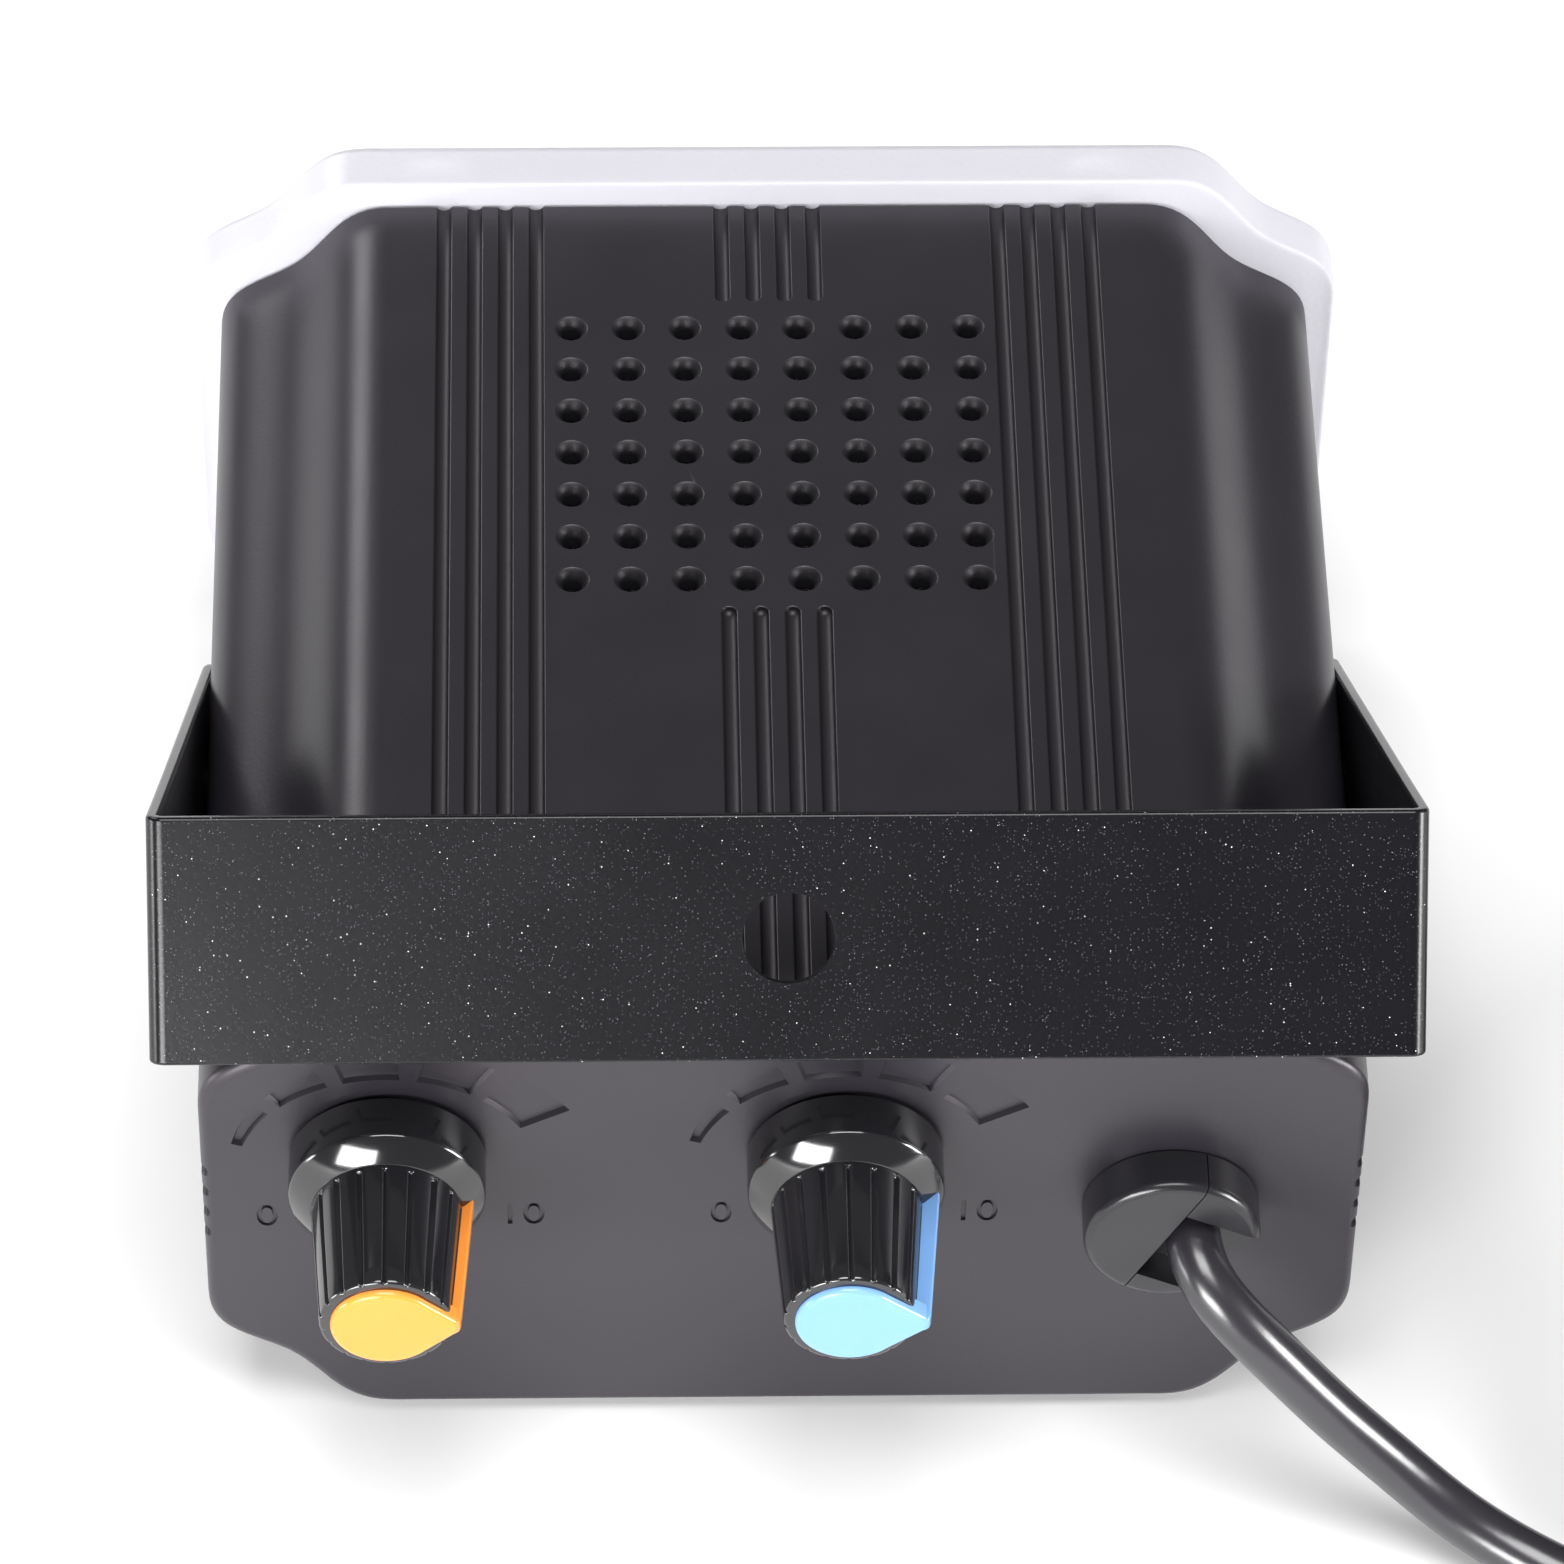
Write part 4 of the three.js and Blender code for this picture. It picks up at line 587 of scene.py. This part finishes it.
def quarter_round(radius, start, size):
    """Profile of a rounded edge: from the end face at `start` by a quarter circle out to the radius."""
    turn = np.linspace(0, np.pi / 2, 6)
    return np.stack([radius - size * (1 - np.sin(turn)), start + size * (1 - np.cos(turn))], 1)


foot_profile = [[0, -foot_height], *quarter_round(foot_tread, -foot_height, foot_round),
                [foot_radius, -foot_gap], [0, -foot_gap]]
foot_rubber = finish("foot_rubber", (0.02, 0.02, 0.021), 0.75, grain=0.03, grain_size=0.5)
for number, (x, y) in enumerate(foot_places, 1):
    foot = solid(f"rubber_foot_{number}", shell(turned(foot_profile, 48, "z") + [x, y, 0] + light_shift))
    dress(foot, foot_rubber, "housing")
    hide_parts(f"foot_{number}")


# Front cover
# A frosted clear moulding a little larger than the housing, with a rib that plugs into its mouth. Four
# cross-head screws, sunk in its face, hold it to the bosses.
cover_back, cover_front = 42.15, 47.15
cover_proud, cover_round, cover_floor = 2.3, 1.3, 2
rib_back = cover_back - 3.5
rib_outside, rib_inside = -wall - 0.3, -wall - 1.9
cover_boss, screw_hole, head_hole, head_seat, head_drop = 2.3, 1.55, 3, 45.6, 0.075
turn = np.linspace(0, np.pi / 2, 9)
cover_rings = np.array(
    [ogee_ring(rib_inside, cover_front - cover_floor), ogee_ring(rib_inside, rib_back),
     ogee_ring(rib_outside, rib_back), ogee_ring(rib_outside, cover_back),
     ogee_ring(cover_proud - 0.35, cover_back), ogee_ring(cover_proud - 0.1, cover_back + 0.1),
     ogee_ring(cover_proud, cover_back + 0.35)]
    + [ogee_ring(cover_proud - cover_round * (1 - np.cos(a)), cover_front - cover_round * (1 - np.sin(a)))
       for a in turn])
cover = solid("frosted_cover", shell(cover_rings))
boss = turned([[0, rib_back], [cover_boss, rib_back], [cover_boss, 46], [0, 46]], 24)
carve(cover, *[solid("boss", shell(boss + [x, 0, z])) for x, z in screw_places], how="UNION")
sink = turned([[0, rib_back - 1], [screw_hole, rib_back - 1], [screw_hole, head_seat],
               [head_hole, head_seat], [head_hole, cover_front - 0.25],
               [head_hole + 0.28, cover_front + 0.05], [head_hole + 0.28, cover_front + 1],
               [0, cover_front + 1]], 48)
carve(cover, solid("sinks", *[shell(sink + [x, 0, z]) for x, z in screw_places]))
cover.data.transform(Matrix.Translation(Vector(light_shift) / 1000))
frosted = finish("frosted_plastic", (0.87, 0.86, 0.92), 0.36, grain=0.02, grain_size=0.5, mottle=0.02,
                 Transmission_Weight=0.35, IOR=1.49)
dress(cover, frosted, "housing")
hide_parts("lens_cover")
screw_steel = finish("screw_steel", (0.55, 0.55, 0.57), 0.32, grain=0.004, grain_size=0.3, Metallic=1)


def cross_recess(width, length, depth):
    """Two crossed blades that stand in the head's face at nought and taper along -Y to their depth."""
    half_widths, half_lengths = width * np.array([0.35, 0.5, 0.5]), length * np.array([0.3, 0.5, 0.5])
    blade = rounded_rings(half_widths, half_lengths, [0.02], [-depth, 0, 1], steps=1)
    return [blade, blade[..., [2, 1, 0]]]


cover_screw = [[0, 0], [2.1, 0], [2.5, -0.12], [2.7, -0.4], [2.7, -1.4], [1.4, -1.4], [1.4, -11], [0, -11]]
for number, (x, z) in enumerate(screw_places, 1):
    screw = solid(f"cover_screw_{number}", shell(turned(cover_screw, 48)))
    carve(screw, *[solid("blade", shell(blade)) for blade in cross_recess(0.75, 3, 1)])
    screw.data.transform(Matrix.Translation(Vector(light_shift + [x, cover_front - head_drop, z]) / 1000))
    dress(screw, screw_steel, "housing")
    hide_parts(f"lens_screw_{number}")


# Bracket
# A strip of 1 mm steel bent to a U, powder coated black, with half-round ends that pivot on the sides
# and one hole in the bar.
bracket_width, bracket_thickness, bracket_reach = 19, 1, 56.5
bar_half, pivot_half, bend_outside = 47.9, 45.9, 1.3
bar_hole, bracket_tilt = 3.5, np.radians(36.6)
sheet_edge, hole_edge = 0.28, 0.22
# Painted glints: the coat's flakes are real, and their sparkle is painted into the colour as bright flecks.
coat_glint_flecks = [(0.5, 0.08, 0.22, (1, 1, 1, 1)), (0.3, 0.12, 0.4, (0.2, 0.2, 0.22, 1)),
               (0.22, 0.22, 0.4, (0.04, 0.04, 0.05, 1))]


def bracket_rings():
    """The sheet's section, a rounded strip, carried down one leg, round two bends and up the other.
    Near both ends its half width follows a half circle about the pivot."""
    splay = np.arctan((bar_half - pivot_half) / bracket_reach)
    end = bracket_width / 2
    across = np.arccos(np.linspace(0.04, 1, 22))
    leg = np.concatenate([end * np.sin(across), [-20, -40]])
    half = np.where(leg > 0, np.sqrt(np.clip(end ** 2 - leg ** 2, 0, None)), end)
    half = np.maximum(half, sheet_edge)
    leg_x = pivot_half - bracket_thickness / 2 - np.tan(splay) * leg
    bend = bend_outside - bracket_thickness / 2
    turn = np.linspace(0, np.pi / 2, 13)
    corner_x, corner_y = bar_half - bend_outside, -bracket_reach + bend_outside
    bend_x, bend_y = corner_x + bend * np.cos(turn), corner_y - bend * np.sin(turn)
    x = np.concatenate([leg_x, bend_x])
    y = np.concatenate([leg, bend_y])
    half = np.concatenate([half, np.full(len(bend_x), end)])
    x, y, half = (np.concatenate([a, b[::-1]]) for a, b in [(x, -x), (y, y), (half, half)])
    path = np.stack([x, y], 1)
    along = np.gradient(path, axis=0)
    along /= np.linalg.norm(along, axis=1)[:, None]
    out = np.stack([-along[:, 1], along[:, 0]], 1)
    section = rounded_rings(np.full(len(x), bracket_thickness / 2), half, sheet_edge, 0, steps=4)
    thick, wide = section[..., 0], section[..., 2]
    return np.stack([x[:, None] + thick * out[:, :1], y[:, None] + thick * out[:, 1:], wide], -1)


def soften(piece, size, segments, angle):
    """Rounds the piece's edges that are sharper than the angle, by that size in millimetres."""
    bevel = piece.modifiers.new("soft edges", "BEVEL")
    bevel.width, bevel.segments = size / 1000, segments
    bevel.limit_method, bevel.angle_limit = "ANGLE", np.radians(angle)


bracket = solid("tilting_bracket", shell(bracket_rings()))
hole = turned([[0, -3], [bar_hole, -3], [bar_hole, 3], [0, 3]], 64) - [0, bracket_reach, 0]
pivot_hole = turned([[0, -3], [2.3, -3], [2.3, -0.9], [3.6, 0.05], [3.9, 0.3], [3.9, 3], [0, 3]], 48, "x")
carve(bracket, solid("holes", shell(hole), *[
    shell((pivot_hole + [pivot_half, 0, 0]) * [side, 1, 1]) for side in (-1, 1)]))
tilt = Matrix.Rotation(-bracket_tilt, 4, "X")
pivot_place = Vector(light_shift + [0, pivot_y, height / 2]) / 1000
bracket.data.transform(Matrix.Translation(pivot_place) @ tilt)
soften(bracket, hole_edge, segments=3, angle=50)


def powder_coat():
    """Black powder with an even orange peel and three kinds of flecks: the coat's flakes, with their glints
    painted in as brighter colour. Each kind has the size of its cells, its reach, its share and its colour.
    A fleck is where a cell of a Voronoi pattern is both within reach of its own point and picked by its
    random colour."""
    material = finish("bracket_steel", (0.0052, 0.005, 0.0066), 0.24, grain=0.006, grain_size=0.3,
                      mottle=0.15, IOR=1.4)
    nodes, links = material.node_tree.nodes, material.node_tree.links
    for size, reach, share, colour in coat_glint_flecks:
        cells = nodes.new("ShaderNodeTexVoronoi")
        cells.inputs["Scale"].default_value = 1000 / size
        links.new(nodes["Texture Coordinate"].outputs["Object"], cells.inputs["Vector"])
        split = nodes.new("ShaderNodeSeparateColor")
        links.new(cells.outputs["Color"], split.inputs["Color"])
        near = math_node(material, "LESS_THAN", cells.outputs["Distance"], reach)
        picked = math_node(material, "LESS_THAN", split.outputs["Red"], share)
        # Painted glint: each picked fleck takes a brighter colour.
        overlay(material, "Base Color", math_node(material, "MULTIPLY", near, picked), colour)
    return material


dress(bracket, powder_coat(), "bracket")
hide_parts("bracket")


# Pivots
# On each side a countersunk cross-head screw with a fibre washer behind the leg; its nut is inside.
pivot_screw, pivot_drop = [[0, 0], [3.1, 0], [3.3, -0.1], [2, -0.75], [2, -9.4], [0, -9.4]], 0.15
for side, name in [(-1, "left"), (1, "right")]:
    screw = solid(f"pivot_pin_{name}", shell(turned(pivot_screw, 48)))
    carve(screw, *[solid("blade", shell(blade)) for blade in cross_recess(0.7, 3.2, 0.6)])
    place = Vector(light_shift + [side * (pivot_half - pivot_drop), pivot_y, height / 2]) / 1000
    screw.data.transform(Matrix.Translation(place) @ Matrix.Rotation(-side * np.pi / 2, 4, "Z"))
    dress(screw, screw_steel, "housing")
    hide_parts(f"pivot_screw_{name}")


# Knobs
# Glossy black moulded knobs: a round skirt, a bevel, and a tapering grip with eighteen hollow flutes.
# Each is pushed on the potentiometer's shaft.
knob_back = -half_depth - 0.3
skirt_radius, skirt_length, bevel_length = 7.6, 3.8, 1.5
grip_base, grip_end, grip_length, grip_round = 5.85, 5.05, 10.75, 0.3
flutes, flute_depth, flute_share, flute_steps = 18, 0.22, 0.3, 20
hollow_radius, hollow_depth, shaft_radius, shaft_depth = 6.4, 3.3, 3.3, 11.8
knob_front = knob_back - skirt_length - bevel_length - grip_length


def knob_rings():
    """A profile carried round the shaft, from the middle of the end face over the grip, the bevel and
    the skirt into the hollow back. At a share s of half a pitch from a flute's middle the grip's radius
    is less by the flute depth times one plus the cosine of pi s over the flute's share, halved. The
    flutes end round just before the bevel, and grow shallow over the last half millimetre to the end."""
    skirt_front = knob_back - skirt_length
    bevel_front = skirt_front - bevel_length
    y = np.concatenate([np.linspace(knob_front + 0.45, bevel_front - 0.8, 8),
                        bevel_front - np.array([0.6, 0.5, 0.42, 0.36, 0.3, 0.15, 0.05])])
    grip = np.stack([grip_end + (grip_base - grip_end) * (y - knob_front) / grip_length, y], 1)
    skirt = [[grip_base, bevel_front], [grip_base + 0.12, bevel_front + 0.04],
             [skirt_radius - 0.16, skirt_front - 0.1], [skirt_radius - 0.03, skirt_front + 0.04],
             [skirt_radius, skirt_front + 0.2], [skirt_radius, knob_back - 0.2],
             [skirt_radius - 0.2, knob_back], [hollow_radius, knob_back],
             [hollow_radius, knob_back - hollow_depth], [shaft_radius, knob_back - hollow_depth],
             [shaft_radius, knob_back - shaft_depth], [0, knob_back - shaft_depth]]
    profile = np.vstack([[[0, knob_front], [grip_end - 0.9, knob_front]],
                         quarter_round(grip_end, knob_front, grip_round), grip, skirt])
    rings = turned(profile, flutes * flute_steps)
    across = 2 * np.abs(np.arange(flutes * flute_steps) / flute_steps % 1 - 0.5)
    flute = (1 + np.cos(np.pi * np.minimum(across / flute_share, 1))) / 2
    fade = np.clip((bevel_front - 0.3 - profile[:, 1]) / 0.3, 0, 1)
    fade *= np.clip((profile[:, 1] - knob_front) / 0.5, 0.2, 1) * (profile[:, 0] > grip_end - 0.35)
    cut = flute_depth * np.outer(np.sqrt(fade * (2 - fade)), flute)
    scale = 1 - cut / np.maximum(profile[:, :1], 1)
    rings[..., 0] *= scale
    rings[..., 2] *= scale
    return rings


knob_plastic = finish("knob_plastic", (0.012, 0.0115, 0.0135), 0.11, grain=0.003, grain_size=0.8,
                      shine=0.2, IOR=1.75)
for name, x in knob_places.items():
    knob = solid(f"control_knob_{name}", shell(knob_rings() + [x, 0, knob_height] + light_shift), sharp=40)
    dress(knob, knob_plastic, f"knob_{name}")
    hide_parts(f"knob_{name}")


# Pointer caps
# Coloured snap-in caps, amber on the left knob and blue on the right: a drop-shaped face with a soft
# edge, and a rib that runs down the side of the grip as the pointer.
cap_front = knob_front - 0.7
rib_back_end = knob_back - skirt_length - 0.3
cap_radius, cap_middle, cap_depth = 4.2, 0.6, 1.6
dome_height, cap_edge_share, cap_edge_height = 0.1, 0.12, 0.5
rib_half, rib_inner = 0.65, 4


def cap_rings(cap_reach):
    """A drop outline: a circle whose two tangents meet the pointer's blunt tip. The outline shrinks
    towards the middle for the domed face, and at its edge it turns down by a quarter of an ellipse."""
    tangent = np.arccos(cap_radius / cap_reach)
    angle = np.linspace(tangent, 2 * np.pi - tangent, 60)
    arc = np.stack([cap_radius * np.cos(angle), cap_radius * np.sin(angle)], 1)
    tip = np.array([cap_reach, rib_half * 0.7])
    upper = np.linspace(tip, arc[0], 16)[:-1]
    lower = (np.linspace(tip, arc[0], 16)[:-1] * [1, -1])[::-1]
    outline = np.vstack([upper, arc, lower])
    middle = np.array([cap_middle, 0])
    turn = np.linspace(0, np.pi / 2, 7)
    edge = list(zip(1 - cap_edge_share * (1 - np.sin(turn)),
                    dome_height + cap_edge_height * (1 - np.cos(turn))))
    rings = []
    for share, y in [(0, 0), (0.35, 0.02), (0.7, 0.06)] + edge + [(1, cap_depth)]:
        ring = middle + (outline - middle) * share
        rings.append(np.stack([ring[:, 0], np.full(len(ring), y + cap_front), ring[:, 1]], -1))
    return np.array(rings)


def rib_rings(cap_reach, rib_foot):
    """The pointer's rib: a rounded strip section whose outer side leans in towards the cap."""
    y = np.concatenate([cap_front + np.array([0.2, 0.35, 0.7]),
                        rib_back_end - np.array([1.5, 0.25, 0.1, 0])])
    rounding = np.array([0.35, 0.12, 0, 0, 0, 0.06, 0.25])
    outer = np.interp(y, [cap_front, rib_back_end], [cap_reach, rib_foot]) - rounding
    rings = rounded_rings((outer - rib_inner) / 2, rib_half, 0.18, y, steps=4)
    rings[..., 0] += ((outer + rib_inner) / 2)[:, None]
    return rings


for name, colour, slot, reach, foot in [("left", (1.0, 0.31, 0.05), "amber_plastic", 5.7, 6.7),
                                        ("right", (0.2, 0.4, 0.76), "blue_plastic", 6.1, 7.2)]:
    place = light_shift + [knob_places[name], 0, knob_height]
    cap = solid(f"pointer_cap_{name}", shell(cap_rings(reach) + place),
                shell(rib_rings(reach, foot) + place))
    dress(cap, finish(slot, colour, 0.22, grain=0.004, grain_size=1.2, mottle=0.03,
                      Subsurface_Weight=0.2, Subsurface_Scale=0.002), f"knob_{name}")
    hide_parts(f"pointer_{name}")


# Strain relief
# A nylon bushing in two halves that clamp the cord: a round head with a pocket where the cord turns
# down, split by a slanting cut, and a shank through the panel.
relief_front, shank_front, shank_end = -half_depth - 3.8, -half_depth - 0.15, -33
relief_radius, relief_round, shank_radius = 6.9, 0.8, 5.5
relief_lean, relief_split, relief_gap, relief_edge = np.radians(27), -0.6, 0.1, 0.15
bore_radius, bore_shift, pocket_depth, pocket_z = 2.5, 1.825, 2.9, (-4.6, 3.3)
beyond = 14
relief_nylon = finish("relief_nylon", (0.018, 0.017, 0.02), 0.22, grain=0.004, grain_size=0.8, shine=0.2)
relief_profile = [[0, relief_front], *quarter_round(relief_radius, relief_front, relief_round),
                  [relief_radius, shank_front], [shank_radius, shank_front], [shank_radius, shank_end],
                  [0, shank_end]]
bore_profile = [[0, relief_front - 1], [bore_radius, relief_front - 1], [bore_radius, shank_end + 1],
                [0, shank_end + 1]]
for side, name, node in [(-1, "shell", "strain_relief_shell"), (1, "wedge", "strain_relief_wedge")]:
    half = solid(f"relief_{name}", shell(turned(relief_profile, 96)))
    pocket = box(relief_split, beyond, relief_front - 1, relief_front + pocket_depth, *pocket_z)
    bore = turned(bore_profile, 48) + [bore_shift, 0, 0]
    carve(half, solid("pocket", pocket), solid("bore", shell(bore)))
    split = relief_split + side * relief_gap / 2
    kept = box(*sorted([split, split + side * 2 * beyond]), -5 * beyond, -beyond, -beyond, beyond)
    carve(half, solid("kept", kept), how="INTERSECT")
    lean = Matrix.Rotation(relief_lean, 4, "Y")
    half.data.transform(Matrix.Translation(Vector(relief_place + light_shift) / 1000) @ lean)
    soften(half, relief_edge, segments=2, angle=40)
    dress(half, relief_nylon, "housing")
    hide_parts(node)


# Works inside
# Boards, driver parts, potentiometers, leads and fasteners keep their solids; each gets the finish of
# what it is made of.
inner_finishes = [
    (screw_steel, ["led_screw_1", "led_screw_2", "board_screw_1", "board_screw_2",
                   "pot_washer_left", "pot_washer_right", "pot_nut_left", "pot_nut_right",
                   "pivot_nut_left", "pivot_nut_right"]),
    (finish("white_laminate", (0.8, 0.8, 0.76), 0.45, grain=0.01), ["led_board"]),
    (finish("lamp_resin", (0.93, 0.92, 0.8), 0.12, Transmission_Weight=0.5), ["led_array"]),
    (finish("green_laminate", (0.02, 0.13, 0.05), 0.4, grain=0.02, grain_size=1.2), ["driver_board"]),
    (finish("film_case", (0.6, 0.4, 0.04), 0.35), ["film_capacitor"]),
    (finish("capacitor_sleeve", (0.03, 0.05, 0.15), 0.3), ["bulk_capacitor"]),
    (finish("copper_winding", (0.6, 0.24, 0.08), 0.35, grain=0.05, grain_size=0.3, Metallic=1),
     ["inductor"]),
    (finish("package_resin", (0.02, 0.02, 0.02), 0.5, grain=0.01),
     ["rectifier", "switch_transistor", "controller_chip"]),
    (finish("heatsink_aluminium", (0.6, 0.6, 0.62), 0.4, grain=0.01, Metallic=1), ["heatsink"]),
    (finish("fuse_glass", (0.8, 0.82, 0.84), 0.1, Transmission_Weight=0.7), ["fuse"]),
    (finish("lead_jacket", (0.3, 0.06, 0.04), 0.45, grain=0.01, mottle=0.3),
     ["led_lead", "mains_lead", "pot_lead_left", "pot_lead_right"]),
    (finish("pot_can", (0.5, 0.5, 0.5), 0.35, grain=0.01, Metallic=1),
     ["potentiometer_left", "potentiometer_right"]),
    (finish("shaft_aluminium", (0.7, 0.7, 0.7), 0.3, grain=0.01, Metallic=1),
     ["pot_shaft_left", "pot_shaft_right"]),
    (finish("washer_fibre", (0.25, 0.05, 0.03), 0.7, grain=0.03),
     ["pivot_washer_left", "pivot_washer_right"]),
]
for material, names in inner_finishes:
    for name in names:
        for place in bpy.data.objects[name].material_slots:
            place.material = material


# Table and light
# A pale even table in a dim white room. A low softbox at the rear panel's left is the key, one on the
# right fills, a flat one low on the left lights the side, a weak one behind on the left edges the top,
# and a wide one overhead whitens the table. All five aim at the strobe light.
table_half, room_light, aim_point = 4, 0.12, Vector((0, 0, 0.03))
table_mesh = bpy.data.meshes.new("table")
table_mesh.from_pydata([(-table_half, -table_half, 0), (table_half, -table_half, 0),
                        (table_half, table_half, 0), (-table_half, table_half, 0)], [], [(0, 1, 2, 3)])
table = bpy.data.objects.new("table", table_mesh)
bpy.context.collection.objects.link(table)
table_mesh.materials.append(finish("table_paint", (0.93, 0.93, 0.93), 0.9, mottle=0.005))
world = bpy.data.worlds.new("studio")
world.use_nodes = True
world.node_tree.nodes["Background"].inputs["Color"].default_value = (1, 1, 1, 1)
world.node_tree.nodes["Background"].inputs["Strength"].default_value = room_light
bpy.context.scene.world = world
for name, place, size, power in [("key", (-0.28, -0.6, 0.19), (0.34, 0.23), 4.9),
                                 ("fill", (0.56, -0.26, 0.15), (0.2, 0.2), 3.4),
                                 ("side", (-0.55, -0.13, 0.05), (0.24, 0.09), 0.9),
                                 ("rim", (-0.3, 0.38, 0.32), (0.2, 0.2), 0.75),
                                 ("overhead", (0, -0.25, 1.2), (0.7, 0.7), 13.2)]:
    lamp = bpy.data.lights.new(name, "AREA")
    lamp.shape, lamp.size, lamp.size_y, lamp.energy = "RECTANGLE", *size, power
    softbox = bpy.data.objects.new(name, lamp)
    aim = (aim_point - Vector(place)).to_track_quat("-Z", "Y").to_matrix().to_4x4()
    softbox.matrix_world = Matrix.Translation(place) @ aim
    bpy.context.collection.objects.link(softbox)
bpy.context.scene.view_settings.view_transform = "Standard"
